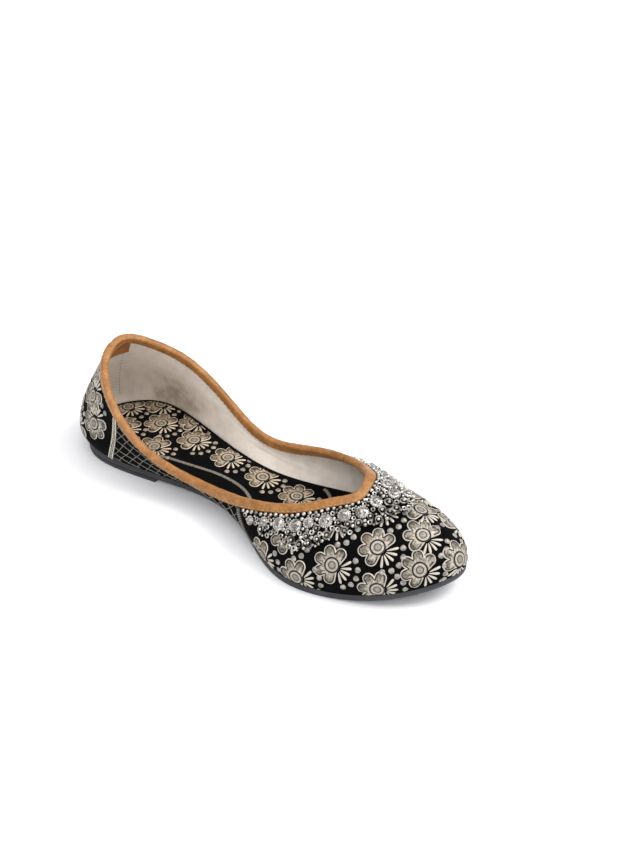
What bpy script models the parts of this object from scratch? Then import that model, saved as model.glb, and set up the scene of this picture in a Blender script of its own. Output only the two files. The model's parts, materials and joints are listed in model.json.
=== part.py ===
"""Mojari shoe for the right foot: a low slip-on with a short vamp, a flared collar and a thin sole.

Metres, +Z up. The toe points along +X and the shoe's inner side is at +Y. The shoe stands on the
floor with the origin under the middle of its heel. Every solid follows one ring of ribs, which runs
from the back of the heel along the outer side to the toe and back along the inner side.
"""
import math
from collections import namedtuple

import bpy
import numpy as np

# Sole
SHOE_LENGTH = 0.240
BALL_WIDTH = 0.0775
WAIST_WIDTH = 0.040
HEEL_WIDTH = 0.057
SOLE_THICKNESS = 0.0032
SOLE_MARGIN = 0.0005
SOLE_CHAMFER = 0.0005
HEEL_LIFT = 0.0022
HEEL_LENGTH = 0.064
TOE_SPRING = 0.012
INSOLE_THICKNESS = 0.0025

# Upper
WALL = 0.0018
BACK_HEIGHT = 0.061
WAIST_HEIGHT = 0.019
THROAT_HEIGHT = 0.0435
VAMP_LENGTH = 0.057
HEEL_RAKE = 0.018
COLLAR_WIDTH = 0.060
TOE_SWING = 0.0053
BALL_BULGE = 0.003

# Trim
BINDING_DEPTH = 0.005
BINDING_THICKNESS = 0.0009
HEEL_TAB_DEPTH = 0.010
HEEL_TAB_WIDTH = 0.015
HEEL_TAB_THICKNESS = 0.0008
BRAID_WIDTH = 0.0026
BRAID_THICKNESS = 0.0009
BEAD_TRIM_WIDTH = 0.017
BEAD_TRIM_BASE = 0.0010
STONE_PITCH = 0.0075
STONE_HEIGHT = 0.0022
CLUSTER_HEIGHT = 0.0026
BELL_HEIGHT = 0.0016
THROAT_HEAP = 0.0025

# The gap that meeting pieces keep
GAP = 0.0003

# Fineness of the loft and of what lies on it
RIBS_PER_ROW = 4
STEPS_UP = 12
BRAID_STEPS = 10
SAMPLES_PER_STONE = 4

# Where the sole lies flat on the floor at the forefoot, and where its arch is, along the shoe
TREAD_START = 0.58 * SHOE_LENGTH
TREAD_END = 0.77 * SHOE_LENGTH
HEEL_CENTRE = HEEL_LENGTH / 2

# One row for each rib that is set by hand on one side, from the back of the heel to the tip of the toe.
# Places along the shoe run from the heel. Leans are in degrees, outwards from upright at the foot and
# from hanging straight down at the collar. Reaches are shares of the rib's span.
OPENING = SHOE_LENGTH - VAMP_LENGTH - HEEL_RAKE
BACK_RISE = BACK_HEIGHT - WAIST_HEIGHT
THROAT_RISE = THROAT_HEIGHT - WAIST_HEIGHT
Row = namedtuple("Row", "foot_along foot_half collar_along collar_half collar_height "
                        "foot_lean collar_lean foot_reach collar_reach")
ROWS = (
    Row(0.000 * SHOE_LENGTH, 0.000 * HEEL_WIDTH, HEEL_RAKE + 0.000 * OPENING, 0.000 * COLLAR_WIDTH,
        WAIST_HEIGHT + 1.000 * BACK_RISE, 54, 30, 0.26, 0.36),
    Row(0.030 * SHOE_LENGTH, 0.305 * HEEL_WIDTH, HEEL_RAKE + 0.010 * OPENING, 0.160 * COLLAR_WIDTH,
        WAIST_HEIGHT + 0.945 * BACK_RISE, 55, 28, 0.27, 0.36),
    Row(0.100 * SHOE_LENGTH, 0.495 * HEEL_WIDTH, HEEL_RAKE + 0.045 * OPENING, 0.308 * COLLAR_WIDTH,
        WAIST_HEIGHT + 0.815 * BACK_RISE, 44, 22, 0.27, 0.36),
    Row(0.220 * SHOE_LENGTH, 0.460 * HEEL_WIDTH, HEEL_RAKE + 0.146 * OPENING, 0.475 * COLLAR_WIDTH,
        WAIST_HEIGHT + 0.585 * BACK_RISE, 24, 4, 0.30, 0.34),
    Row(0.360 * SHOE_LENGTH, 0.495 * WAIST_WIDTH, HEEL_RAKE + 0.309 * OPENING, 0.500 * COLLAR_WIDTH,
        WAIST_HEIGHT + 0.235 * BACK_RISE, 35, -15, 0.34, 0.34),
    Row(0.490 * SHOE_LENGTH, 0.505 * WAIST_WIDTH, HEEL_RAKE + 0.500 * OPENING, 0.435 * COLLAR_WIDTH,
        WAIST_HEIGHT, 50, -10, 0.34, 0.34),
    Row(0.620 * SHOE_LENGTH, 0.420 * BALL_WIDTH, HEEL_RAKE + 0.691 * OPENING, 0.465 * COLLAR_WIDTH,
        WAIST_HEIGHT + 0.230 * THROAT_RISE, 34, 25, 0.36, 0.34),
    Row(0.740 * SHOE_LENGTH, 0.500 * BALL_WIDTH, HEEL_RAKE + 0.854 * OPENING, 0.405 * COLLAR_WIDTH,
        WAIST_HEIGHT + 0.535 * THROAT_RISE, 16, 48, 0.34, 0.34),
    Row(0.860 * SHOE_LENGTH, 0.410 * BALL_WIDTH, HEEL_RAKE + 0.945 * OPENING, 0.260 * COLLAR_WIDTH,
        WAIST_HEIGHT + 0.760 * THROAT_RISE, 16, 58, 0.34, 0.34),
    Row(0.945 * SHOE_LENGTH, 0.260 * BALL_WIDTH, HEEL_RAKE + 0.988 * OPENING, 0.135 * COLLAR_WIDTH,
        WAIST_HEIGHT + 0.940 * THROAT_RISE, 16, 64, 0.32, 0.34),
    Row(1.000 * SHOE_LENGTH, 0.000 * BALL_WIDTH, HEEL_RAKE + 1.000 * OPENING, 0.000 * COLLAR_WIDTH,
        WAIST_HEIGHT + 1.000 * THROAT_RISE, 14, 66, 0.32, 0.34),
)


def smooth(share):
    """Ease a share from 0 to 1."""
    share = np.clip(share, 0.0, 1.0)
    return share * share * (3 - 2 * share)


def sole_line(along):
    """Height of the sole's underside above the floor."""
    over_heel = HEEL_LIFT + GAP
    arch = over_heel * (1 - smooth((along - 1.35 * HEEL_LENGTH) / (TREAD_START - 1.35 * HEEL_LENGTH)))
    spring = TOE_SPRING * (np.clip(along - TREAD_END, 0, None) / (SHOE_LENGTH - TREAD_END)) ** 2
    return arch + spring


def swing(along, up):
    """Sideways shift of the last: the toe to the inner side, the ball of the foot to the outer side."""
    share = along / SHOE_LENGTH
    toe = TOE_SWING * np.clip((share - 0.5) / 0.5, 0, None) ** 3
    ball = BALL_BULGE * np.exp(-((share - 0.67) / 0.12) ** 2)
    return toe - ball * (1 - up) ** 2


def closed_spline(points, per_span):
    """Read a smooth closed curve through the points, with per_span samples from each to the next."""
    count = len(points)
    system = 4 * np.eye(count) + np.roll(np.eye(count), 1, axis=1) + np.roll(np.eye(count), -1, axis=1)
    after = np.roll(points, -1, axis=0)
    slopes = np.linalg.solve(system, 3 * (after - np.roll(points, 1, axis=0)))
    slopes_after = np.roll(slopes, -1, axis=0)
    samples = []
    for i in range(count):
        for t in np.arange(per_span) / per_span:
            samples.append((2 * t**3 - 3 * t**2 + 1) * points[i] + (t**3 - 2 * t**2 + t) * slopes[i]
                           + (3 * t**2 - 2 * t**3) * after[i] + (t**3 - t**2) * slopes_after[i])
    return np.array(samples)


def outward(plan):
    """Unit normals that point out of a closed curve in plan, which runs anticlockwise from above."""
    tangent = np.roll(plan, -1, axis=0) - np.roll(plan, 1, axis=0)
    normal = np.stack([tangent[:, 1], -tangent[:, 0]], axis=1)
    return normal / np.linalg.norm(normal, axis=1, keepdims=True)


def ring_of_rows():
    """The rows of one side and their mirror, as a closed ring of rib sizes."""
    side = [list(row) for row in ROWS]
    ring = []
    for row in side:
        ring.append([row[0], -row[1], row[2], -row[3]] + row[4:])
    for row in side[-2:0:-1]:
        ring.append(list(row))
    return closed_spline(np.array(ring), RIBS_PER_ROW)


def upper_grid():
    """Points of the upper's outer face: one row for each rib, from the foot to the collar."""
    ring = ring_of_rows()
    foot, collar = ring[:, 0:2], ring[:, 2:4]
    foot_out, collar_out = outward(foot), outward(collar)
    foot_lean, collar_lean = np.radians(ring[:, 5]), np.radians(ring[:, 6])
    start = np.column_stack([foot, sole_line(foot[:, 0]) + SOLE_THICKNESS + GAP])
    end = np.column_stack([collar, ring[:, 4]])
    span = np.linalg.norm(end - start, axis=1)
    rise = np.column_stack([foot_out * np.sin(foot_lean)[:, None], np.cos(foot_lean)])
    hang = np.column_stack([collar_out * np.sin(collar_lean)[:, None], -np.cos(collar_lean)])
    low = start + rise * (ring[:, 7] * span)[:, None]
    high = end + hang * (ring[:, 8] * span)[:, None]
    ups = np.linspace(0, 1, STEPS_UP + 1)
    grid = np.empty((len(ring), len(ups), 3))
    for j, t in enumerate(ups):
        grid[:, j] = (1 - t)**3 * start + 3 * (1 - t)**2 * t * low + 3 * (1 - t) * t**2 * high + t**3 * end
        grid[:, j, 1] += swing(grid[:, j, 0], t)
    return grid


def grid_normals(grid):
    """Unit normals that point out of the upper at each point of its grid."""
    along = np.roll(grid, -1, axis=0) - np.roll(grid, 1, axis=0)
    up = np.gradient(grid, axis=1)
    normal = np.cross(along, up)
    return normal / np.linalg.norm(normal, axis=2, keepdims=True)


GRID = upper_grid()
NORMALS = grid_normals(GRID)
RIBS = len(GRID)
THROAT_RIB = RIBS // 2

# Where the trim stands, counted in rows of the table from the back of the heel
HEEL_BRAID_TOP, HEEL_BRAID_FOOT = 3.07, 2.45
VAMP_BRAID_TOP, VAMP_BRAID_FOOT = 5.90, 5.80
BEAD_TRIM_START = 6.10


def read_grid(values, rib, step):
    """Read the upper's grid between its points, at a rib and a step that may be fractions."""
    i, j = int(math.floor(rib)), min(int(step), STEPS_UP - 1)
    u, v = rib - i, step - j
    a, b = values[i % RIBS], values[(i + 1) % RIBS]
    return ((1 - u) * (1 - v) * a[j] + u * (1 - v) * b[j] + (1 - u) * v * a[j + 1] + u * v * b[j + 1])


def skin(rib, step):
    """The point and the outward normal of the upper's outer face at a rib and a step."""
    normal = read_grid(NORMALS, rib, step)
    return read_grid(GRID, rib, step), normal / np.linalg.norm(normal)


def step_at(rib, depth):
    """The step that lies a given depth down from the collar, measured along the rib."""
    ladder = np.array([read_grid(GRID, rib, step) for step in range(STEPS_UP, -1, -1)])
    depths = np.concatenate([[0], np.cumsum(np.linalg.norm(np.diff(ladder, axis=0), axis=1))])
    return float(np.interp(depth, depths, np.arange(STEPS_UP, -1, -1)))


def foot_halves(offset, until=None):
    """The outer and the inner side of the sole's outline, from the heel to the toe or to a straight cut."""
    foot = ring_of_rows()[:, 0:2]
    foot = foot + outward(foot) * offset
    foot[:, 1] += swing(foot[:, 0], 0)
    halves = [foot[:THROAT_RIB + 1], np.vstack([foot[:1], foot[:THROAT_RIB - 1:-1]])]
    if until is None:
        return halves
    cut = []
    for half in halves:
        kept = half[half[:, 0] < until]
        cut.append(np.vstack([kept, [[until, np.interp(until, half[:, 0], half[:, 1])]]]))
    return cut


def make_object(name, collection, points, faces, colour, roughness, metallic=0.0):
    """Put a mesh with its own material in the collection, set down at the heel's centre."""
    mesh = bpy.data.meshes.new(name)
    mesh.from_pydata([tuple(map(float, point)) for point in points], [], faces)
    mesh.shade_smooth()
    mesh.set_sharp_from_angle(angle=math.radians(40))
    obj = bpy.data.objects.new(name, mesh)
    obj.location = (-HEEL_CENTRE, 0, 0)
    collection.objects.link(obj)
    material = bpy.data.materials.new(name + "_material")
    material.use_nodes = True
    shader = material.node_tree.nodes["Principled BSDF"]
    shader.inputs["Base Color"].default_value = (*colour, 1)
    shader.inputs["Roughness"].default_value = roughness
    shader.inputs["Metallic"].default_value = metallic
    mesh.materials.append(material)
    return obj


def band_faces(around, levels, closed):
    """Quads of a sheet whose points are stored ring by ring, with `around` points to a ring."""
    faces = []
    last = around if closed else around - 1
    for k in range(levels - 1):
        for i in range(last):
            nxt = (i + 1) % around
            faces.append((k * around + i, k * around + nxt, (k + 1) * around + nxt, (k + 1) * around + i))
    return faces


def make_slab(name, collection, levels, colour, roughness, until=None):
    """A flat piece lofted through outlines, each an offset and a height function, from low to high."""
    rings = []
    for offset, height in levels:
        outer, inner = foot_halves(offset, until)
        closing = inner[-2:0:-1] if until is None else inner[:0:-1]
        loop = np.vstack([outer, closing])
        rings.append(np.column_stack([loop, height(loop[:, 0])]))
    count = len(rings[0])
    faces = band_faces(count, len(rings), closed=True)
    top = (len(rings) - 1) * count
    for i in range(count // 2):
        corners = list(dict.fromkeys([i, i + 1, (count - i - 1) % count, (count - i) % count]))
        if len(corners) > 2:
            faces.append(tuple(reversed(corners)))
            faces.append(tuple(top + corner for corner in corners))
    return make_object(name, collection, np.vstack(rings), faces, colour, roughness)


def make_outsole(collection):
    """The rubber sole, with a small chamfer along its lower edge."""
    levels = (
        (SOLE_MARGIN - SOLE_CHAMFER, sole_line),
        (SOLE_MARGIN, lambda along: sole_line(along) + SOLE_CHAMFER),
        (SOLE_MARGIN, lambda along: sole_line(along) + SOLE_THICKNESS),
    )
    return make_slab("outsole", collection, levels, (0.015, 0.015, 0.016), 0.6)


def make_heel_lift(collection):
    """The flat lift that the heel stands on, cut straight across in front."""
    levels = (
        (SOLE_MARGIN - SOLE_CHAMFER, lambda along: 0 * along),
        (SOLE_MARGIN, lambda along: 0 * along + SOLE_CHAMFER),
        (SOLE_MARGIN, lambda along: 0 * along + HEEL_LIFT),
    )
    return make_slab("heel_lift", collection, levels, (0.013, 0.013, 0.014), 0.65, until=HEEL_LENGTH)


def make_insole(collection):
    """The footbed, which lies on the sole inside the upper's wall."""
    edge = -(WALL + 2 * GAP)
    levels = (
        (edge, lambda along: sole_line(along) + SOLE_THICKNESS + GAP),
        (edge, lambda along: sole_line(along) + SOLE_THICKNESS + GAP + INSOLE_THICKNESS - SOLE_CHAMFER),
        (edge - SOLE_CHAMFER, lambda along: sole_line(along) + SOLE_THICKNESS + GAP + INSOLE_THICKNESS),
    )
    return make_slab("insole", collection, levels, (0.014, 0.012, 0.013), 0.85)


def make_upper(collection):
    """The shell of velvet and canvas: an open skin with its wall laid inwards."""
    points = GRID.transpose(1, 0, 2).reshape(-1, 3)
    faces = band_faces(RIBS, STEPS_UP + 1, closed=True)
    obj = make_object("upper", collection, points, faces, (0.012, 0.011, 0.012), 0.85)
    wall = obj.modifiers.new("wall", "SOLIDIFY")
    wall.thickness = WALL
    wall.offset = -1
    wall.use_even_offset = True
    return obj


def binding_section(rib):
    """The folded strip's cross-section on one rib, as a closed loop from its outer lower edge over the collar."""
    brow, out = skin(rib, STEPS_UP)
    low, low_out = skin(rib, step_at(rib, BINDING_DEPTH))
    up = (brow - low) / np.linalg.norm(brow - low)
    over = GAP + BINDING_THICKNESS
    under = WALL + over
    shoulder = GAP + 0.7 * BINDING_THICKNESS
    return [
        low + low_out * over,
        brow + out * over,
        brow + out * shoulder + up * shoulder,
        brow - out * WALL / 2 + up * over,
        brow - out * (WALL + shoulder) + up * shoulder,
        brow - out * under,
        low - low_out * under,
        low - low_out * (WALL + GAP),
        brow - out * (WALL + GAP),
        brow - out * (WALL + GAP) + up * GAP,
        brow + out * GAP + up * GAP,
        brow + out * GAP,
        low + low_out * GAP,
    ]


def make_collar_binding(collection):
    """The leather strip folded over the whole collar edge."""
    sections = [binding_section(rib) for rib in range(RIBS)]
    around = len(sections[0])
    faces = []
    for k in range(RIBS):
        nxt = (k + 1) % RIBS
        for i in range(around):
            j = (i + 1) % around
            faces.append((k * around + i, nxt * around + i, nxt * around + j, k * around + j))
    points = np.array(sections).reshape(-1, 3)
    return make_object("collar_binding", collection, points, faces, (0.50, 0.24, 0.08), 0.5)


def make_cover(name, collection, spots, low, high, colour, roughness, metallic=0.0):
    """A piece that lies on the upper: spots are rows of (rib, step), low and high its offsets from the skin."""
    levels, around = len(spots), len(spots[0])
    under, over = [], []
    for k, row in enumerate(spots):
        for i, (rib, step) in enumerate(row):
            point, out = skin(rib, step)
            under.append(point + out * low)
            over.append(point + out * high[k][i])
    sheet = band_faces(around, levels, closed=False)
    count = levels * around
    faces = [tuple(count + corner for corner in face) for face in sheet]
    faces += [tuple(reversed(face)) for face in sheet]
    rim = list(range(around))
    rim += [k * around + around - 1 for k in range(1, levels)]
    rim += [(levels - 1) * around + i for i in range(around - 2, -1, -1)]
    rim += [k * around for k in range(levels - 2, 0, -1)]
    for i, corner in enumerate(rim):
        nxt = rim[(i + 1) % len(rim)]
        faces.append((corner, nxt, count + nxt, count + corner))
    return make_object(name, collection, np.array(under + over), faces, colour, roughness, metallic)


def make_heel_tab(collection):
    """The small leather patch inside the top of the heel, below the binding."""
    reach = HEEL_TAB_WIDTH / 2 / np.linalg.norm(GRID[1, -1] - GRID[0, -1])
    spots = []
    for depth in np.linspace(BINDING_DEPTH + HEEL_TAB_DEPTH, BINDING_DEPTH + GAP, 4):
        spots.append([(rib, step_at(rib, depth)) for rib in np.linspace(-reach, reach, 7)])
    inner = -(WALL + GAP + HEEL_TAB_THICKNESS)
    outer = [[-(WALL + GAP)] * 7] * 4
    return make_cover("heel_tab", collection, spots, inner, outer, (0.42, 0.19, 0.06), 0.55)


def make_braid(name, collection, top, foot):
    """A flat braid down one side, from the binding to the sole, with its middle raised."""
    start = top * RIBS_PER_ROW
    spots, heights = [], []
    for share in np.linspace(0, 1, BRAID_STEPS + 1):
        rib = (foot + (top - foot) * share) * RIBS_PER_ROW
        step = 0.25 + (step_at(start, BINDING_DEPTH + 2 * GAP) - 0.25) * share
        gauge = np.linalg.norm(skin(rib + 0.5, step)[0] - skin(rib - 0.5, step)[0])
        half = BRAID_WIDTH / 2 / gauge
        spots.append([(rib + half * side, step) for side in (-1, -0.4, 0.4, 1)])
        edge, middle = GAP + 0.5 * BRAID_THICKNESS, GAP + BRAID_THICKNESS
        heights.append([edge, middle, middle, edge])
    return make_cover(name, collection, spots, GAP, heights, (0.55, 0.47, 0.33), 0.45, 0.4)


def bead_spots():
    """Rows of spots of the bead trim, from its hanging edge up to the binding, and their heights."""
    first, last = BEAD_TRIM_START * RIBS_PER_ROW, RIBS - BEAD_TRIM_START * RIBS_PER_ROW
    fine = np.linspace(first, last, 400)
    line = np.array([skin(rib, step_at(rib, BINDING_DEPTH))[0] for rib in fine])
    run = np.concatenate([[0], np.cumsum(np.linalg.norm(np.diff(line, axis=0), axis=1))])
    stones = int(round(run[-1] / STONE_PITCH))
    columns = np.interp(np.linspace(0, run[-1], stones * SAMPLES_PER_STONE + 1), run, fine)
    # Shares of the trim's width, down from the binding, with the height of stones, clusters and bells there
    table = (
        (0.00, 0.0, 0.0, 0.0),
        (0.12, 0.3, 0.0, 0.0),
        (0.26, 1.0, 0.0, 0.0),
        (0.40, 0.8, 0.3, 0.0),
        (0.54, 0.2, 1.0, 0.0),
        (0.68, 0.0, 0.9, 0.2),
        (0.82, 0.0, 0.3, 1.0),
        (1.00, 0.0, 0.0, 0.3),
    )
    spots, heights = [], []
    for share, stone, cluster, bell in reversed(table):
        row, rise = [], []
        for k, rib in enumerate(columns):
            phase = math.cos(2 * math.pi * k / SAMPLES_PER_STONE)
            along = k / (len(columns) - 1)
            throat = math.sin(math.pi * along) ** 4
            width = BEAD_TRIM_WIDTH * (0.75 + 0.25 * min(1, 6 * along, 6 * (1 - along)) + 0.1 * throat)
            width *= 1 - 0.06 * (1 + phase) * share
            row.append((rib, step_at(rib, BINDING_DEPTH + 2 * GAP + share * width)))
            height = stone * STONE_HEIGHT * (1 - phase) / 2 + cluster * CLUSTER_HEIGHT * (1 + phase) / 2
            height += bell * BELL_HEIGHT * (1 - phase) / 2
            height += THROAT_HEAP * throat * (1 - abs(2 * share - 1)) * (stone + cluster + bell > 0)
            rise.append(GAP + BEAD_TRIM_BASE + height)
        spots.append(row)
        heights.append(rise)
    return spots, heights


def make_bead_trim(collection):
    """The heavy silver trim round the throat, whose stones, clusters and bells stand up from one ribbon."""
    spots, heights = bead_spots()
    return make_cover("bead_trim", collection, spots, GAP, heights, (0.62, 0.60, 0.58), 0.3, 0.9)


def main():
    """Build the shoe in an empty scene."""
    for old in list(bpy.data.objects):
        bpy.data.objects.remove(old, do_unlink=True)
    shoe = bpy.data.collections.new("mojari_shoe")
    bpy.context.scene.collection.children.link(shoe)
    make_outsole(shoe)
    make_heel_lift(shoe)
    make_insole(shoe)
    make_upper(shoe)
    make_collar_binding(shoe)
    make_heel_tab(shoe)
    around = 2 * (len(ROWS) - 1)
    make_braid("braid_heel_outer", shoe, HEEL_BRAID_TOP, HEEL_BRAID_FOOT)
    make_braid("braid_heel_inner", shoe, around - HEEL_BRAID_TOP, around - HEEL_BRAID_FOOT)
    make_braid("braid_vamp_outer", shoe, VAMP_BRAID_TOP, VAMP_BRAID_FOOT)
    make_braid("braid_vamp_inner", shoe, around - VAMP_BRAID_TOP, around - VAMP_BRAID_FOOT)
    make_bead_trim(shoe)


main()
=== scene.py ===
"""Looks of a black velvet mojari shoe for the right foot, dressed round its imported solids.

Metres, +Z up, in the part's own frame: the toe points along +X, the inner side is at +Y, and the origin
is on the floor under the heel's middle. What lies on the upper is placed by two numbers. The row counts
round the shoe, from the back of the heel along the outer side to the toe at 10 and back to 20. The up
goes from 0 at the sole to 1 at the collar.
"""
import json
import logging
import math
from contextlib import contextmanager
from dataclasses import dataclass, field
from enum import Enum
from typing import Callable, ClassVar, Iterable, Iterator, NamedTuple, Protocol, Sequence

import bpy
import numpy as np
from mathutils import Matrix, Vector

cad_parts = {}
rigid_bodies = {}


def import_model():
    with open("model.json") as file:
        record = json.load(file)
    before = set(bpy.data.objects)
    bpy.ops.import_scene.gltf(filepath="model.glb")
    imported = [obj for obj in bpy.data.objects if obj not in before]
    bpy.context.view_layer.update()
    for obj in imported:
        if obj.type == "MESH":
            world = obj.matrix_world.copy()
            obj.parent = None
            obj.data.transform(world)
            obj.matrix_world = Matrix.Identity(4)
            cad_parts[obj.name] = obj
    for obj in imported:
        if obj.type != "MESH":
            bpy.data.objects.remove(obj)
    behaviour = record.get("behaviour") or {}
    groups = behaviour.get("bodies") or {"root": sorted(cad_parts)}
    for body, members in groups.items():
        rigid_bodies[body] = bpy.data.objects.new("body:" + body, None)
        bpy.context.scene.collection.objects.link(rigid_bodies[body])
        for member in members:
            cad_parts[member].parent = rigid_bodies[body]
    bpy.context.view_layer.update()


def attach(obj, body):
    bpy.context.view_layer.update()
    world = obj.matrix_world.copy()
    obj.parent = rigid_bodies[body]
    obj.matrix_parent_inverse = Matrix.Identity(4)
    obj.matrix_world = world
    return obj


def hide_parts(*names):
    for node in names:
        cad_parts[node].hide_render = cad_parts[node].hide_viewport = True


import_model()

BODY = "root"
MM = 0.001
ROUND, TOE = 20, 10  # rows round the shoe, and the row of the toe
Array = np.ndarray
Faces = list[tuple[int, ...]]
Object = bpy.types.Object
Sockets = dict[str, object]

log = logging.getLogger("mojari")


# Sizes of the shoe, as in the part's source

@dataclass(frozen=True)
class Last:
    """The form that the shoe is made on, with every size in metres."""

    shoe_length: float = 0.240
    ball_width: float = 0.0775
    waist_width: float = 0.040
    heel_width: float = 0.057
    sole_thickness: float = 0.0032
    sole_margin: float = 0.0005
    heel_lift: float = 0.0022
    heel_length: float = 0.064
    toe_spring: float = 0.012
    insole_thickness: float = 0.0025
    wall: float = 0.0018
    back_height: float = 0.061
    waist_height: float = 0.019
    throat_height: float = 0.0435
    vamp_length: float = 0.057
    heel_rake: float = 0.018
    collar_width: float = 0.060
    toe_swing: float = 0.0053
    ball_bulge: float = 0.003
    gap: float = 0.0003
    # Where wear has pulled the collar out of line: row, spread in rows, and the pull along x, y and z
    collar_pulls: tuple[tuple[float, ...], ...] = ((3.9, 1.0, 0.0, -0.0015, -0.0036),
                                                   (9.3, 0.95, 0.0028, 0.0, -0.0022))

    @property
    def heel_centre(self) -> float:
        """Distance from the back of the heel to the origin."""
        return self.heel_length / 2

    def half_rows(self) -> list[tuple[float, ...]]:
        """Sizes of each rib of one side, from the back of the heel to the tip of the toe.

        Returns:
            Rows of foot along, foot half, collar along, collar half, collar height, foot lean, collar lean,
            foot reach and collar reach, with leans in degrees and reaches as shares of the rib's span.
        """
        opening = self.shoe_length - self.vamp_length - self.heel_rake
        back, throat = self.back_height - self.waist_height, self.throat_height - self.waist_height
        heel, waist, ball = self.heel_width, self.waist_width, self.ball_width
        shares = (
            (0.000, 0.000 * heel, 0.000, 0.000, 1.000 * back, 54, 30, 0.26, 0.36),
            (0.030, 0.305 * heel, 0.010, 0.160, 0.945 * back, 55, 28, 0.27, 0.36),
            (0.100, 0.495 * heel, 0.045, 0.308, 0.815 * back, 44, 22, 0.27, 0.36),
            (0.220, 0.460 * heel, 0.146, 0.475, 0.585 * back, 24, 4, 0.30, 0.34),
            (0.360, 0.495 * waist, 0.309, 0.500, 0.235 * back, 35, -15, 0.34, 0.34),
            (0.490, 0.505 * waist, 0.500, 0.435, 0.000 * back, 50, -10, 0.34, 0.34),
            (0.620, 0.420 * ball, 0.691, 0.465, 0.230 * throat, 34, 25, 0.36, 0.34),
            (0.740, 0.500 * ball, 0.854, 0.405, 0.535 * throat, 16, 48, 0.34, 0.34),
            (0.860, 0.410 * ball, 0.945, 0.260, 0.760 * throat, 16, 58, 0.34, 0.34),
            (0.945, 0.260 * ball, 0.988, 0.135, 0.940 * throat, 16, 64, 0.32, 0.34),
            (1.000, 0.000 * ball, 1.000, 0.000, 1.000 * throat, 14, 66, 0.32, 0.34),
        )
        return [(along * self.shoe_length, half, self.heel_rake + collar * opening, wide * self.collar_width,
                 self.waist_height + rise, lean, hang, reach, draw)
                for along, half, collar, wide, rise, lean, hang, reach, draw in shares]

    def sole_line(self, along: Array) -> Array:
        """Height of the sole's underside above the floor.

        Args:
            along: distances from the back of the heel.

        Returns:
            The heights.
        """
        tread_start, tread_end = 0.58 * self.shoe_length, 0.77 * self.shoe_length
        arch_start = 1.35 * self.heel_length
        eased = smooth((along - arch_start) / (tread_start - arch_start))
        spring = (np.clip(along - tread_end, 0, None) / (self.shoe_length - tread_end)) ** 2
        return (self.heel_lift + self.gap) * (1 - eased) + self.toe_spring * spring

    def swing(self, along: Array, up: Array) -> Array:
        """Sideways shift of the last, the toe inwards and the ball of the foot outwards.

        Args:
            along: distances from the back of the heel.
            up: shares from the sole to the collar.

        Returns:
            The shifts towards the inner side.
        """
        share = along / self.shoe_length
        toe = self.toe_swing * np.clip((share - 0.5) / 0.5, 0, None) ** 3
        ball = self.ball_bulge * np.exp(-((share - 0.67) / 0.12) ** 2)
        return toe - ball * (1 - up) ** 2

    def collar_pull(self, rows: Array) -> Array:
        """How far wear has pulled the outer side's collar out of line, at the waist and at the throat's corner."""
        shares = [np.exp(-((np.mod(rows, ROUND) - pull[0]) / pull[1]) ** 2) for pull in self.collar_pulls]
        return sum(share[:, None] * np.array(pull[2:]) for share, pull in zip(shares, self.collar_pulls))

    def insole_top(self, along: Array) -> Array:
        """Height of the footbed's top above the floor."""
        return self.sole_line(along) + self.sole_thickness + self.gap + self.insole_thickness


def smooth(share: Array) -> Array:
    """Ease a share from 0 to 1."""
    share = np.clip(share, 0.0, 1.0)
    return share * share * (3 - 2 * share)


def unit(vectors: Array) -> Array:
    """Scale vectors to length one."""
    return vectors / np.maximum(np.linalg.norm(vectors, axis=-1, keepdims=True), 1e-12)


def run_along(points: Array) -> Array:
    """Length of a path up to each of its points."""
    return np.concatenate([[0], np.cumsum(np.linalg.norm(np.diff(points, axis=0), axis=1))])


def read_path(at: float, run: Array, values: Array) -> Array:
    """Values kept along a path, read at one length along it."""
    return np.array([np.interp(at, run, values[:, i]) for i in range(3)])


def on_circle(turns: Array) -> Array:
    """Places on a circle of radius one, at turns in radians."""
    return np.stack([np.cos(turns), np.sin(turns)], axis=1)


def rows_past(rows: Array, row: float = 0.0) -> Array:
    """How many rows lie past a given row, the short way round, and below zero behind it."""
    return np.mod(rows - row + TOE, ROUND) - TOE


class ClosedSpline:
    """A smooth closed curve through given points, read at fractions of their count."""

    def __init__(self, points: Array) -> None:
        """Work out the slopes.

        Args:
            points: the points, one to a line.
        """
        count = len(points)
        system = 4 * np.eye(count) + np.roll(np.eye(count), 1, axis=1) + np.roll(np.eye(count), -1, axis=1)
        self.points = points
        self.slopes = np.linalg.solve(system, 3 * (np.roll(points, -1, axis=0) - np.roll(points, 1, axis=0)))

    def __call__(self, rows: Array) -> Array:
        """Read the curve.

        Args:
            rows: places on it, counted in points.

        Returns:
            One line of values for each place.
        """
        count = len(self.points)
        rows = np.mod(rows, count)
        i = np.minimum(rows.astype(int), count - 1)
        j = (i + 1) % count
        t = (rows - i)[:, None]
        return ((2 * t**3 - 3 * t**2 + 1) * self.points[i] + (t**3 - 2 * t**2 + t) * self.slopes[i]
                + (3 * t**2 - 2 * t**3) * self.points[j] + (t**3 - t**2) * self.slopes[j])


@dataclass(frozen=True)
class Crease:
    """A soft trough with a low ridge on each side, as a hand presses into cloth."""

    row: float
    up: float
    half_length: float
    half_width: float
    slant: float
    depth: float

    def lift(self, along: Array, rise: Array) -> Array:
        """Height that the crease adds.

        Args:
            along: distances from its middle round the shoe, in metres.
            rise: distances from its middle up the rib, in metres.

        Returns:
            The heights, below zero in the trough.
        """
        turn = math.radians(self.slant)
        length = (along * math.cos(turn) + rise * math.sin(turn)) / self.half_length
        across = (rise * math.cos(turn) - along * math.sin(turn)) / self.half_width
        ridges = 0.35 * (np.exp(-(across - 1.9) ** 2) + np.exp(-(across + 1.9) ** 2))
        return self.depth * np.exp(-length**2) * (ridges - np.exp(-across**2))


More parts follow.
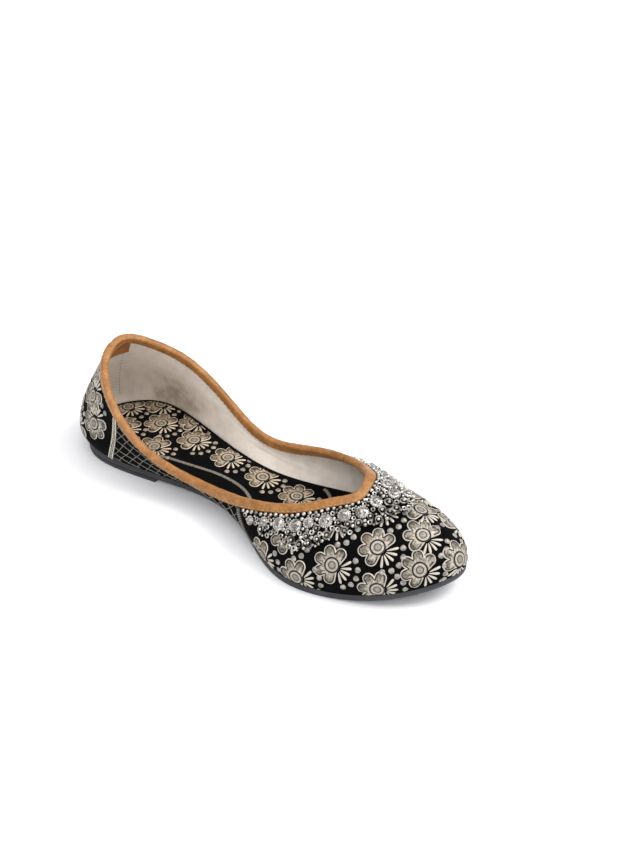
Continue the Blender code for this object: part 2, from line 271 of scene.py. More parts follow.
class Skin:
    """The outer face of the upper, read at rows and ups, with its creases.

    Depths below the collar are kept in a table, whose cells are counted by the two constants.
    """

    ROW_CELLS: ClassVar[int] = 400
    UP_CELLS: ClassVar[int] = 48

    def __init__(self, last: Last, creases: Sequence[Crease] = ()) -> None:
        """Build the spline of rib sizes.

        Args:
            last: the shoe's sizes.
            creases: the creases that the cloth has.
        """
        side = [list(row) for row in last.half_rows()]
        ring = [[row[0], -row[1], row[2], -row[3]] + row[4:] for row in side]
        ring += [row for row in side[-2:0:-1]]
        self.last = last
        self.spline = ClosedSpline(np.array(ring, float))
        self.creases = [(crease, *self.gauge(crease)) for crease in creases]
        self.table_ups = np.linspace(0, 1, self.UP_CELLS + 1)
        rows, ups = np.meshgrid(np.linspace(0, ROUND, self.ROW_CELLS + 1), self.table_ups, indexing="ij")
        steps = np.linalg.norm(np.diff(self.bare(rows, ups), axis=1), axis=2)
        self.depths = np.pad(np.cumsum(steps[:, ::-1], axis=1)[:, ::-1], ((0, 0), (0, 1)))

    def gauge(self, crease: Crease) -> tuple[float, float]:
        """Metres to a row and metres to an up at a crease's middle."""
        by_row, by_up = self.slopes(np.array([crease.row]), np.array([crease.up]))
        return float(np.linalg.norm(by_row)), float(np.linalg.norm(by_up))

    def bare(self, rows: Array, ups: Array) -> Array:
        """Points of the face without creases.

        Args:
            rows: rows, any shape.
            ups: ups, the same shape.

        Returns:
            The points, with one axis more.
        """
        shape = np.shape(rows)
        rows, ups = np.ravel(rows).astype(float), np.ravel(ups).astype(float)
        ring = self.spline(rows)
        ahead, behind = self.spline(rows + 0.25), self.spline(rows - 0.25)
        tangent = ahead[:, :4] - behind[:, :4]
        foot_out = unit(np.stack([tangent[:, 1], -tangent[:, 0]], axis=1))
        collar_out = unit(np.stack([tangent[:, 3], -tangent[:, 2]], axis=1))
        lean, hang = np.radians(ring[:, 5]), np.radians(ring[:, 6])
        floor = self.last.sole_line(ring[:, 0]) + self.last.sole_thickness + self.last.gap
        start = np.column_stack([ring[:, 0:2], floor])
        end = ring[:, 2:5] + self.last.collar_pull(rows)
        span = np.linalg.norm(end - start, axis=1)
        rise = np.column_stack([foot_out * np.sin(lean)[:, None], np.cos(lean)])
        drop = np.column_stack([collar_out * np.sin(hang)[:, None], -np.cos(hang)])
        low = start + rise * (ring[:, 7] * span)[:, None]
        high = end + drop * (ring[:, 8] * span)[:, None]
        t = ups[:, None]
        points = (1 - t)**3 * start + 3 * (1 - t)**2 * t * low + 3 * (1 - t) * t**2 * high + t**3 * end
        points[:, 1] += self.last.swing(points[:, 0], ups)
        points[:, 0] -= self.last.heel_centre
        return points.reshape(*shape, 3)

    def slopes(self, rows: Array, ups: Array) -> tuple[Array, Array]:
        """How the face's points move with the row and with the up.

        Args:
            rows: rows.
            ups: ups.

        Returns:
            Metres for each row, and metres for each up.
        """
        by_row = (self.bare(rows + 0.03, ups) - self.bare(rows - 0.03, ups)) / 0.06
        by_up = (self.bare(rows, ups + 0.01) - self.bare(rows, ups - 0.01)) / 0.02
        return by_row, by_up

    def crease_lift(self, rows: Array, ups: Array) -> Array:
        """Height that all creases add.

        Args:
            rows: rows.
            ups: ups.

        Returns:
            The heights.
        """
        total = np.zeros(np.shape(rows))
        for crease, row_length, up_length in self.creases:
            total += crease.lift(rows_past(rows, crease.row) * row_length, (ups - crease.up) * up_length)
        return total

    def at(self, rows: Array, ups: Array, lift: Array | float = 0.0) -> tuple[Array, Array]:
        """Points over the face and the face's normals.

        Args:
            rows: rows.
            ups: ups.
            lift: heights over the face.

        Returns:
            The points and the unit normals that point out of the shoe.
        """
        rows, ups = np.asarray(rows, float), np.asarray(ups, float)
        by_row, by_up = self.slopes(rows, ups)
        normal = unit(np.cross(by_row, by_up))
        height = lift + self.crease_lift(rows, ups)
        return self.bare(rows, ups) + normal * np.asarray(height)[..., None], normal

    def up_at(self, rows: Array, depth: Array | float) -> Array:
        """The ups that lie a given depth down from the collar.

        Args:
            rows: rows, in one dimension.
            depth: depths along the ribs, in metres.

        Returns:
            The ups.
        """
        rows = np.asarray(rows, float)
        place = np.mod(rows, ROUND) / ROUND * self.ROW_CELLS
        i = np.minimum(place.astype(int), self.ROW_CELLS - 1)
        part = (place - i)[:, None]
        ribs = (1 - part) * self.depths[i] + part * self.depths[i + 1]
        wanted = np.broadcast_to(depth, rows.shape)
        return np.array([np.interp(d, rib[::-1], self.table_ups[::-1]) for d, rib in zip(wanted, ribs)])

    def depth_at(self, rows: Array, ups: Array) -> Array:
        """Depths below the collar of places on the face.

        Args:
            rows: rows, in one dimension.
            ups: ups.

        Returns:
            The depths along the ribs.
        """
        across, high = np.mod(rows, ROUND) / ROUND * self.ROW_CELLS, np.clip(ups, 0, 1) * self.UP_CELLS
        i = np.minimum(across.astype(int), self.ROW_CELLS - 1)
        j = np.minimum(high.astype(int), self.UP_CELLS - 1)
        u, v = across - i, high - j
        table = self.depths
        return ((1 - u) * (1 - v) * table[i, j] + u * (1 - v) * table[i + 1, j]
                + (1 - u) * v * table[i, j + 1] + u * v * table[i + 1, j + 1])

    def spot_at(self, arc: float, height: float) -> tuple[float, float] | None:
        """The row and up at a distance round the heel from its back, on one level.

        Args:
            arc: the distance, above zero on the outer side.
            height: the level over the floor.

        Returns:
            The spot, or None where the face doesn't reach that level.
        """
        rows = np.linspace(0, 4, 161) * (1 if arc >= 0 else -1)
        ups = np.linspace(0, 1, 101)
        points = self.bare(*np.meshgrid(rows, ups, indexing="ij"))
        found = np.array([np.interp(height, levels, ups, left=-1, right=-1) for levels in points[:, :, 2]])
        line = self.bare(rows, np.clip(found, 0, 1))
        run = run_along(line)
        k = int(np.searchsorted(run, abs(arc)))
        if k >= len(rows) or found[k] < 0:
            return None
        return float(rows[k]), float(found[k])

    def walk(self, row: float, up: float, heading: Sequence[float], offsets: Array) -> tuple[Array, Array]:
        """Walk over the face from one spot, as a flat print lies on it when it is pressed down.

        Args:
            row: row of the spot.
            up: up of the spot.
            heading: direction in space that the print's first axis points in, near enough.
            offsets: places on the print, as two lengths in metres.

        Returns:
            The rows and the ups where the places come to lie.
        """
        steps = 10
        count = len(offsets)
        rows, ups = np.full(count, float(row)), np.full(count, float(up))
        by_row, by_up = self.slopes(rows[:1], ups[:1])
        normal = unit(np.cross(by_row, by_up))[0]
        first = np.asarray(heading, float)
        first = unit(first - normal * (first @ normal))
        second = np.cross(normal, first)
        move = (offsets[:, 0:1] * first + offsets[:, 1:2] * second) / steps
        length = np.linalg.norm(move, axis=1, keepdims=True)
        for _ in range(steps):
            by_row, by_up = self.slopes(rows, ups)
            normal = unit(np.cross(by_row, by_up))
            move = move - normal * np.sum(move * normal, axis=1, keepdims=True)
            move = unit(move) * length
            aa, bb = np.sum(by_row**2, axis=1), np.sum(by_up**2, axis=1)
            ab = np.sum(by_row * by_up, axis=1)
            am, bm = np.sum(by_row * move, axis=1), np.sum(by_up * move, axis=1)
            spread = np.maximum(aa * bb - ab * ab, 1e-16)
            rows = rows + (am * bb - bm * ab) / spread
            ups = np.clip(ups + (bm * aa - am * ab) / spread, -0.15, 1.15)
        return rows, ups


# Small helpers that every piece uses

def srgb(code: str) -> tuple[float, float, float, float]:
    """Turn an sRGB hex value into a linear colour.

    Args:
        code: the value, with its hash sign.

    Returns:
        Red, green, blue and an alpha of one.
    """
    parts = [int(code[i:i + 2], 16) / 255 for i in (1, 3, 5)]
    linear = [c / 12.92 if c <= 0.04045 else ((c + 0.055) / 1.055) ** 2.4 for c in parts]
    return (linear[0], linear[1], linear[2], 1.0)


class Nodes:
    """A new material and its nodes, with the one function that adds a node."""

    def __init__(self, name: str) -> None:
        """Start the material, with coordinates for its textures.

        Args:
            name: the material's name.
        """
        self.material = bpy.data.materials.new(name)
        self.material.use_nodes = True
        self.tree = self.material.node_tree
        where = self.add("TexCoord")
        self.place, self.uv = where.outputs["Object"], where.outputs["UV"]

    def feed(self, node: bpy.types.Node, inputs: dict) -> None:
        """Set a node's sockets.

        Args:
            node: the node.
            inputs: sockets by name or number, each with a value, a socket, or a node whose first output feeds it.
        """
        for key, value in inputs.items():
            source = value.outputs[0] if isinstance(value, bpy.types.Node) else value
            if isinstance(source, bpy.types.NodeSocket):
                self.tree.links.new(source, node.inputs[key])
            else:
                node.inputs[key].default_value = source

    def add(self, kind: str, inputs: dict | None = None, stops: Sequence[tuple[float, str]] = (),
            **settings: object) -> bpy.types.Node:
        """Add a shader node with its settings, values and links.

        Args:
            kind: the node's type, without the words that all shader nodes start with.
            inputs: its sockets, as for feed.
            stops: places and hex colours, where it is a colour ramp.
            settings: the node's own settings.

        Returns:
            The node.
        """
        node = self.tree.nodes.new("ShaderNode" + kind)
        for name, value in settings.items():
            setattr(node, name, value)
        for k, (place, code) in enumerate(stops):
            elements = node.color_ramp.elements
            element = elements[k] if k < 2 else elements.new(place)
            element.position, element.color = place, srgb(code)
        self.feed(node, inputs or {})
        return node


def deselect_all() -> None:
    """Leave nothing selected, so that an operator acts on the new piece alone."""
    for obj in bpy.context.view_layer.objects:
        obj.select_set(False)


def make_active(obj: Object) -> None:
    """Select one object alone and make it the active one.

    Args:
        obj: the object.
    """
    deselect_all()
    obj.select_set(True)
    bpy.context.view_layer.objects.active = obj


def mesh_object(name: str, points: Array, faces: Iterable[Sequence[int]], uvs: Array | None = None,
                tones: Array | None = None, sharp_degrees: float = 40.0, period: float = 0.0) -> Object:
    """Make an object from points and faces, shaded smooth up to an angle.

    Args:
        name: the piece's name.
        points: its points in the part's frame, in a grid of any shape.
        faces: its faces as point numbers.
        uvs: one pair of lengths in metres for each point, for patterns that follow the surface.
        tones: one number for each point, for printed or worn shades.
        sharp_degrees: the angle past which an edge stays sharp.
        period: the first length at which a ring's pattern closes, or 0 on a piece that is no ring.

    Returns:
        The object, at the origin.
    """
    mesh = bpy.data.meshes.new(name)
    spots = np.asarray(points, float).reshape(-1, 3).tolist()
    mesh.from_pydata(spots, [], [tuple(map(int, face)) for face in faces])
    if uvs is not None:
        corners = np.zeros(len(mesh.loops), np.int32)
        mesh.loops.foreach_get("vertex_index", corners)
        layer = mesh.uv_layers.new(name="UVMap")
        pairs = np.asarray(uvs, np.float32).reshape(-1, 2)[corners]
        if period:
            quads = pairs[:, 0].reshape(-1, 4)
            wraps = np.ptp(quads, axis=1) > period / 2
            quads[wraps] += np.where(quads[wraps] < period / 2, period, 0).astype(np.float32)
            pairs[:, 0] = quads.ravel()
        layer.data.foreach_set("uv", pairs.ravel())
    if tones is not None:
        attribute = mesh.attributes.new("tone", "FLOAT", "POINT")
        attribute.data.foreach_set("value", np.asarray(tones, np.float32))
    obj = bpy.data.objects.new(name, mesh)
    bpy.context.scene.collection.objects.link(obj)
    mesh.shade_smooth()
    mesh.set_sharp_from_angle(angle=math.radians(sharp_degrees))
    mesh.update()
    return obj


def grid_faces(levels: int, around: int, closed: bool = False, flip: bool = False) -> Faces:
    """Quads of a sheet stored level by level.

    Args:
        levels: how many levels.
        around: points to a level.
        closed: whether each level is a ring.
        flip: whether the faces turn the other way.

    Returns:
        The quads.
    """
    faces = []
    for k in range(levels - 1):
        for i in range(around if closed else around - 1):
            j = (i + 1) % around
            quad = (k * around + i, k * around + j, (k + 1) * around + j, (k + 1) * around + i)
            faces.append(quad[::-1] if flip else quad)
    return faces


@dataclass
class Stamp:
    """A small shape that is modelled once and copied many times."""

    points: Array
    faces: Faces

    @classmethod
    def from_object(cls, obj: Object) -> "Stamp":
        """Read a modelled object and remove it.

        Args:
            obj: the object, with its modifiers applied.

        Returns:
            Its points and faces.
        """
        points = np.array([tuple(vertex.co) for vertex in obj.data.vertices])
        faces = [tuple(polygon.vertices) for polygon in obj.data.polygons]
        bpy.data.objects.remove(obj, do_unlink=True)
        return cls(points, faces)


@dataclass
class Gathering:
    """Many copies of stamps, gathered into one mesh."""

    points: list[Array] = field(default_factory=list)
    faces: Faces = field(default_factory=list)
    tones: list[Array] = field(default_factory=list)
    count: int = 0

    def add(self, stamp: Stamp, at: Array, axes: Array, size: Sequence[float] = (1, 1, 1),
            tone: float = 1.0) -> None:
        """Add one copy.

        Args:
            stamp: the shape.
            at: where its origin goes.
            axes: its three axes, one to a line.
            size: its size along each axis.
            tone: the shade that the copy has.
        """
        self.points.append(at + (stamp.points * np.asarray(size)) @ axes)
        start = self.count
        self.faces.extend(tuple(start + i for i in face) for face in stamp.faces)
        self.tones.append(np.full(len(stamp.points), tone))
        self.count += len(stamp.points)

    def build(self, name: str, sharp_degrees: float = 40.0) -> Object:
        """Make the object that holds all copies."""
        return mesh_object(name, np.vstack(self.points), self.faces, tones=np.concatenate(self.tones),
                           sharp_degrees=sharp_degrees)


def upright_axes(normal: Array, along: Array) -> Array:
    """Axes for a copy that stands on the skin: first along, third out."""
    first = unit(along - normal * (along @ normal))
    return np.array([first, np.cross(normal, first), normal])


@contextmanager
def edit_mode(obj: Object) -> Iterator[None]:
    """Work on one object in edit mode.

    Args:
        obj: the object.
    """
    make_active(obj)
    bpy.ops.object.mode_set(mode="EDIT")
    yield
    bpy.ops.object.mode_set(mode="OBJECT")


def select_vertices(obj: Object, test: Callable[[Vector], bool]) -> None:
    """Select the vertices that pass a test on their place, and the edges and faces between them.

    Args:
        obj: the object.
        test: says of a place whether it is in.
    """
    mesh = obj.data
    for polygon in mesh.polygons:
        polygon.select = all(test(mesh.vertices[i].co) for i in polygon.vertices)
    for edge in mesh.edges:
        edge.select = all(test(mesh.vertices[i].co) for i in edge.vertices)
    for vertex in mesh.vertices:
        vertex.select = test(vertex.co)


def apply_modifier(obj: Object, kind: str, **settings: object) -> None:
    """Add a modifier to an object and apply it.

    Args:
        obj: the object.
        kind: the modifier's type.
        settings: the modifier's own settings.
    """
    modifier = obj.modifiers.new(kind.title(), kind)
    for name, value in settings.items():
        setattr(modifier, name, value)
    make_active(obj)
    bpy.ops.object.modifier_apply(modifier=modifier.name)


def give_wall(obj: Object, thickness: float, sharp_degrees: float = 50.0) -> None:
    """Close an open sheet into a wall that lies behind it.

    Args:
        obj: the sheet.
        thickness: the wall's thickness.
        sharp_degrees: the angle past which an edge stays sharp.
    """
    apply_modifier(obj, "SOLIDIFY", thickness=thickness, offset=-1, use_even_offset=False)
    obj.data.shade_smooth()
    obj.data.set_sharp_from_angle(angle=math.radians(sharp_degrees))


def sweep(points: Array, normals: Array, profile: Array, closed: bool = False) -> tuple[Array, Faces, Array]:
    """Draw a closed section along a path that lies on a surface.

    Args:
        points: the path.
        normals: the surface's normals along it.
        profile: the section, as pairs of sideways and outward lengths, clockwise as seen along the path.
        closed: whether the path is a ring.

    Returns:
        The points, the faces with both ends closed, and lengths along and across for each point.
    """
    if closed:
        ahead = np.roll(points, -1, axis=0) - np.roll(points, 1, axis=0)
    else:
        ahead = np.gradient(points, axis=0)
    side = unit(np.cross(normals, unit(ahead)))
    count = len(profile)
    mesh = points[:, None] + side[:, None] * profile[None, :, 0:1] + normals[:, None] * profile[None, :, 1:2]
    along = run_along(points)
    uvs = np.stack(np.broadcast_arrays(along[:, None], profile[None, :, 0]), axis=2)
    faces: Faces = []
    rings = len(points)
    for k in range(rings if closed else rings - 1):
        after = (k + 1) % rings
        for i in range(count):
            j = (i + 1) % count
            faces.append((k * count + i, k * count + j, after * count + j, after * count + i))
    if not closed:
        faces.append(tuple(range(count - 1, -1, -1)))
        faces.append(tuple((rings - 1) * count + i for i in range(count)))
    flat = mesh.reshape(-1, 3)
    if signed_volume(flat, faces) < 0:
        faces = [face[::-1] for face in faces]
    return flat, faces, uvs.reshape(-1, 2)


def tape_section(width: float, foot: float, shoulder: float, top: float, flat: float) -> Array:
    """Section of a tape with sloping shoulders, for sweep.

    Args:
        width: its width.
        foot: height of its underside.
        shoulder: height that its upright sides reach.
        top: height of its flat top.
        flat: the top's share of the width.

    Returns:
        The section.
    """
    half = width / 2
    left = [(-half, foot), (-half, shoulder), (-flat * half, top)]
    return np.array(left + [(-across, height) for across, height in reversed(left)])


def signed_volume(points: Array, faces: Faces) -> float:
    """Volume of a closed mesh.

    Args:
        points: its points.
        faces: its faces.

    Returns:
        The volume, below zero where the faces point inwards.
    """
    centre = points.mean(axis=0)
    total = 0.0
    for face in faces:
        first = points[face[0]] - centre
        for b, c in zip(face[1:-1], face[2:]):
            total += float(np.dot(first, np.cross(points[b] - centre, points[c] - centre)))
    return total / 6


@dataclass
class Parts:
    """Several meshes that are joined into one piece."""

    points: list[Array] = field(default_factory=list)
    faces: Faces = field(default_factory=list)
    uvs: list[Array] = field(default_factory=list)
    count: int = 0

    def add(self, points: Array, faces: Faces, uvs: Array) -> None:
        """Add one mesh.

        Args:
            points: its points.
            faces: its faces.
            uvs: its pairs of lengths, one to a point.
        """
        self.points.append(points)
        self.uvs.append(uvs)
        self.faces.extend(tuple(self.count + i for i in face) for face in faces)
        self.count += len(points)

    def build(self, name: str, sharp_degrees: float = 40.0) -> Object:
        """Make the object."""
        return mesh_object(name, np.vstack(self.points), self.faces, np.vstack(self.uvs),
                           sharp_degrees=sharp_degrees)


# Finishes

class Slot(Enum):
    """The record's material slots, given with each piece."""

    RUBBER = "sole_rubber"
    VELVET = "printed_velvet"
    CANVAS = "canvas_lining"
    LEATHER = "tan_leather"
    TAB = "tab_leather"
    FOIL = "foil_print"
    THREAD = "stitch_thread"
    BRAID = "metallic_braid"
    SILVER = "silver_beads"
    STONE = "clear_stones"


@dataclass(frozen=True)
class Finish:
    """What every finish shares: its name and how its material is started."""

    name: str

    def make(self) -> bpy.types.Material:
        """Build the material.

        Returns:
            The material.
        """
        nodes = Nodes(self.name)
        nodes.feed(nodes.tree.nodes["Principled BSDF"], self.sockets(nodes))
        return nodes.material

    def sockets(self, nodes: Nodes) -> Sockets:
        """Add the finish's own nodes.

        Args:
            nodes: the material's nodes.

        Returns:
            What the shader's sockets are set to.
        """
        raise NotImplementedError


@dataclass(frozen=True)
class MouldedRubber(Finish):
    """Black synthetic rubber, pressed in a steel mould: charcoal, matte, with a faint even grain."""

    name: str = "moulded_black_rubber"
    dark: str = "#1E1E21"
    light: str = "#303034"
    grain: float = 0.6 * MM

    def sockets(self, nodes: Nodes) -> Sockets:
        """Add the rubber's clouds, scuffs and grain.

        Args:
            nodes: the material's nodes.

        Returns:
            What the shader's sockets are set to.
        """
        cloud = nodes.add("TexNoise", {"Vector": nodes.place, "Scale": 1 / (14 * MM), "Detail": 4})
        scuff = nodes.add("TexNoise", {"Vector": nodes.place, "Scale": 1 / (5 * MM), "Detail": 3})
        grain = nodes.add("TexNoise", {"Vector": nodes.place, "Scale": 1 / self.grain, "Detail": 2})
        return {"Base Color": nodes.add("ValToRGB", {"Fac": cloud}, [(0.3, self.dark), (0.7, self.light)]),
                "Roughness": nodes.add("MapRange", {"Value": scuff, "To Min": 0.42, "To Max": 0.62}),
                "Normal": nodes.add("Bump", {"Height": grain, "Strength": 0.4, "Distance": 0.07 * MM})}


@dataclass(frozen=True)
class BlackVelvet(Finish):
    """Cotton velvet, woven and sheared: near black, with a faint soft light where its pile turns away."""

    name: str = "black_cotton_velvet"
    deep: str = "#020202"
    lit: str = "#090809"
    pile: float = 0.5 * MM

    def sockets(self, nodes: Nodes) -> Sockets:
        """Add the velvet's pile, which is about 0.1 mm wide and is drawn coarser so that it shows.

        Args:
            nodes: the material's nodes.

        Returns:
            What the shader's sockets are set to.
        """
        brushed = nodes.add("TexNoise", {"Vector": nodes.place, "Scale": 1 / (9 * MM), "Detail": 4})
        pile = nodes.add("TexNoise", {"Vector": nodes.place, "Scale": 1 / self.pile, "Detail": 2})
        both = nodes.add("Math", {0: brushed, 1: pile}, operation="ADD")
        shade = nodes.add("Math", {0: both, 1: 0.5}, operation="MULTIPLY")
        return {"Base Color": nodes.add("ValToRGB", {"Fac": shade}, [(0.36, self.deep), (0.66, self.lit)]),
                "Roughness": 0.95, "Specular IOR Level": 0.07,
                "Sheen Weight": 0.015, "Sheen Roughness": 0.5, "Sheen Tint": srgb("#8E8790"),
                "Normal": nodes.add("Bump", {"Height": pile, "Strength": 0.5, "Distance": 0.12 * MM})}


@dataclass(frozen=True)
class WovenCanvas(Finish):
    """Unbleached cotton canvas, plain woven: pale cream threads, stained in clouds, with painted shade low in the
    heel just above the footbed.
    """

    name: str = "cream_cotton_canvas"
    shade_colour: str = "#A09080"
    dark: str = "#CDC1B4"
    light: str = "#ECE2D7"
    thread: float = 0.55 * MM
    # Painted shade low in the heel: where its middle lies, how far it reaches and how much it darkens the canvas
    shade_centre: tuple[float, float, float] = (-0.001, 0.029, 0.011)
    shade_reach: float = 36 * MM
    shade_strength: float = 0.48

    def sockets(self, nodes: Nodes) -> Sockets:
        """Add the canvas's weave, its stained clouds and a painted shade low in the heel; threads are 0.35 mm apart
        and are drawn coarser to show.

        Args:
            nodes: the material's nodes.

        Returns:
            What the shader's sockets are set to.
        """
        threads = nodes.add("SeparateXYZ", {"Vector": nodes.uv})
        waves = []
        for axis in ("X", "Y"):
            turn = nodes.add("Math", {0: threads.outputs[axis], 1: math.pi / self.thread}, operation="MULTIPLY")
            waves.append(nodes.add("Math", {0: turn}, operation="SINE"))
        crossed = nodes.add("Math", {0: waves[0], 1: waves[1]}, operation="MULTIPLY")
        weave = nodes.add("Math", {0: crossed, 1: 0.5, 2: 0.5}, operation="MULTIPLY_ADD")
        slub = nodes.add("TexNoise", {"Vector": nodes.place, "Scale": 1 / (7 * MM), "Detail": 5, "Roughness": 0.6})
        clouds = nodes.add("Math", {0: slub, 1: 0.8}, operation="MULTIPLY")
        woven = nodes.add("Math", {0: weave, 1: 0.22, 2: clouds}, operation="MULTIPLY_ADD")
        # Painted shade: the colour darkens smoothly towards a spot low in the heel, just above the footbed, where
        # shade falls
        offset = nodes.add("VectorMath", {0: nodes.place, 1: self.shade_centre}, operation="SUBTRACT")
        squashed = nodes.add("VectorMath", {0: offset, 1: (1.0, 1.0, 1.5)}, operation="MULTIPLY")
        away = nodes.add("VectorMath", {0: squashed}, operation="LENGTH").outputs["Value"]
        rubbed = nodes.add("MapRange", {"Value": away, "From Min": 3 * MM, "From Max": self.shade_reach,
                                        "To Min": self.shade_strength, "To Max": 0.0}, interpolation_type="SMOOTHSTEP")
        shade = nodes.add("Math", {0: woven, 1: rubbed}, operation="SUBTRACT")
        stops = [(0.0, self.shade_colour), (0.75, self.light), (0.25, self.dark)]
        return {"Base Color": nodes.add("ValToRGB", {"Fac": shade}, stops), "Roughness": 0.85, "Sheen Weight": 0.1,
                "Normal": nodes.add("Bump", {"Height": weave, "Strength": 0.35, "Distance": 0.1 * MM})}


@dataclass(frozen=True)
class SoftLeather(Finish):
    """Vegetable-tanned leather, skived and rolled: warm, satin, with fine pores and rubbed lighter ridges."""

    name: str = "tan_rolled_leather"
    dark: str = "#7A4E20"
    middle: str = "#946331"
    light: str = "#AB7C49"
    pore: float = 0.7 * MM
    roughness: float = 0.44

    def sockets(self, nodes: Nodes) -> Sockets:
        """Add the leather's clouds and pores.

        Args:
            nodes: the material's nodes.

        Returns:
            What the shader's sockets are set to.
        """
        cloud = nodes.add("TexNoise", {"Vector": nodes.place, "Scale": 1 / (7 * MM), "Detail": 5, "Roughness": 0.6})
        fine = nodes.add("TexNoise", {"Vector": nodes.place, "Scale": 1 / (1.2 * MM), "Detail": 3})
        worn = nodes.add("Math", {0: cloud, 1: 0.6}, operation="MULTIPLY")
        shade = nodes.add("Math", {0: fine, 1: 0.4, 2: worn}, operation="MULTIPLY_ADD")
        pores = nodes.add("TexVoronoi", {"Vector": nodes.place, "Scale": 1 / self.pore}, feature="DISTANCE_TO_EDGE")
        height = nodes.add("Math", {0: fine, 1: 0.6, 2: pores}, operation="MULTIPLY_ADD")
        stops = [(0.34, self.dark), (0.68, self.light), (0.5, self.middle)]
        return {"Base Color": nodes.add("ValToRGB", {"Fac": shade}, stops),
                "Roughness": self.roughness, "Specular IOR Level": 0.35,
                "Normal": nodes.add("Bump", {"Height": height, "Strength": 0.4, "Distance": 0.14 * MM})}


@dataclass(frozen=True)
class MetallicYarn(Finish):
    """Yarn wound with thin metal foil: pale gold, glittering, over a black ground where it leaves gaps."""

    name: str = "pale_gold_yarn"
    dark: str = "#756D5C"
    light: str = "#EDE6D6"
    turn: float = 0.5 * MM
    roughness: float = 0.4
    metallic: float = 0.4
    black_ground: bool = True

    def sockets(self, nodes: Nodes) -> Sockets:
        """Add the yarn's turns; pieces with a black ground carry it as a low tone.

        Args:
            nodes: the material's nodes.

        Returns:
            What the shader's sockets are set to.
        """
        turns = nodes.add("TexNoise", {"Vector": nodes.place, "Scale": 1 / self.turn, "Detail": 3,
                                       "Roughness": 0.65})
        colour = nodes.add("ValToRGB", {"Fac": turns}, [(0.32, self.dark), (0.62, self.light)])
        if self.black_ground:
            tone = nodes.add("Attribute", attribute_name="tone").outputs["Fac"]
            blend = nodes.add("Mix", {0: tone, 6: srgb("#0E0C0B"), 7: colour}, data_type="RGBA")
            colour = blend.outputs[2]
        return {"Base Color": colour, "Metallic": self.metallic, "Roughness": self.roughness,
                "Normal": nodes.add("Bump", {"Height": turns, "Strength": 0.5, "Distance": 0.1 * MM})}


@dataclass(frozen=True)
class SilverPlate(Finish):
    """Silver-plated brass, stamped and polished: bright, tarnished grey where it was not rubbed."""

    name: str = "silver_plated_brass"
    dull: str = "#7B766F"
    bright: str = "#CFCBC4"

    def sockets(self, nodes: Nodes) -> Sockets:
        """Add the silver's tarnish.

        Args:
            nodes: the material's nodes.

        Returns:
            What the shader's sockets are set to.
        """
        tarnish = nodes.add("TexNoise", {"Vector": nodes.place, "Scale": 1 / (2.4 * MM), "Detail": 4,
                                         "Roughness": 0.6})
        return {"Base Color": nodes.add("ValToRGB", {"Fac": tarnish}, [(0.38, self.dull), (0.6, self.bright)]),
                "Metallic": 0.9,
                "Roughness": nodes.add("MapRange", {"Value": tarnish, "To Min": 0.45, "To Max": 0.2})}


@dataclass(frozen=True)
class CutStone(Finish):
    """Glass paste, pressed with facets and backed with foil: grey and white flashes under a clear gloss."""

    name: str = "foil_backed_glass"
    dark: str = "#5C595B"
    light: str = "#C0BAB1"

    def sockets(self, nodes: Nodes) -> Sockets:
        """Add the stone's flashes.

        Args:
            nodes: the material's nodes.

        Returns:
            What the shader's sockets are set to.
        """
        flash = nodes.add("TexVoronoi", {"Vector": nodes.place, "Scale": 1 / (1.0 * MM)})
        return {"Base Color": nodes.add("ValToRGB", {"Fac": flash}, [(0.2, self.light), (0.75, self.dark)]),
                "Metallic": 0.8, "Roughness": 0.18, "Coat Weight": 0.35, "Coat Roughness": 0.04}


@dataclass(frozen=True)
class TwistedThread(Finish):
    """Waxed cotton thread: pale cream, matte, with the slant of its twist."""

    name: str = "waxed_cotton_thread"
    dark: str = "#94703F"
    light: str = "#C6A26E"

    def sockets(self, nodes: Nodes) -> Sockets:
        """Add the thread's twist.

        Args:
            nodes: the material's nodes.

        Returns:
            What the shader's sockets are set to.
        """
        twist = nodes.add("TexNoise", {"Vector": nodes.place, "Scale": 1 / (0.4 * MM), "Detail": 2})
        return {"Base Color": nodes.add("ValToRGB", {"Fac": twist}, [(0.35, self.dark), (0.6, self.light)]),
                "Roughness": 0.6,
                "Normal": nodes.add("Bump", {"Height": twist, "Strength": 0.4, "Distance": 0.08 * MM})}


@dataclass(frozen=True)
class WhitePaper(Finish):
    """Matte background paper, coated white."""

    name: str = "white_background_paper"

    def sockets(self, nodes: Nodes) -> Sockets:
        """Add the paper's fibres."""
        fibre = nodes.add("TexNoise", {"Vector": nodes.place, "Scale": 1 / (3 * MM), "Detail": 2})
        return {"Base Color": nodes.add("ValToRGB", {"Fac": fibre}, [(0.3, "#F3F3F4"), (0.7, "#F5F5F6")]),
                "Roughness": 0.9, "Specular IOR Level": 0.1}


# The printed flower

@dataclass
class Patch:
    """A flat bit of print: places on it, how high each stands, and its faces."""

    offsets: Array
    heights: Array
    faces: Faces

    @staticmethod
    def join(patches: Sequence["Patch"]) -> "Patch":
        """Put several patches into one.

        Args:
            patches: the patches.

        Returns:
            The one patch.
        """
        faces: Faces = []
        count = 0
        for patch in patches:
            faces.extend(tuple(count + i for i in face) for face in patch.faces)
            count += len(patch.offsets)
        return Patch(np.vstack([patch.offsets for patch in patches]),
                     np.concatenate([patch.heights for patch in patches]), faces)


def ring_patch(rings: Array, centre: Array, heights: Array, top: float) -> Patch:
    """A patch from rings of places round a centre.

    Args:
        rings: the rings from the smallest to the largest, each with its places anticlockwise.
        centre: the middle place.
        heights: the height of each place on the rings.
        top: the height of the middle.

    Returns:
        The patch.
    """
    levels, around = rings.shape[:2]
    faces: Faces = [(0, 1 + i, 1 + (i + 1) % around) for i in range(around)]
    for k in range(levels - 1):
        for i in range(around):
            j = (i + 1) % around
            low, high = 1 + k * around, 1 + (k + 1) * around
            faces.append((low + i, high + i, high + j, low + j))
    return Patch(np.vstack([centre[None], rings.reshape(-1, 2)]), np.concatenate([[top], heights.ravel()]), faces)


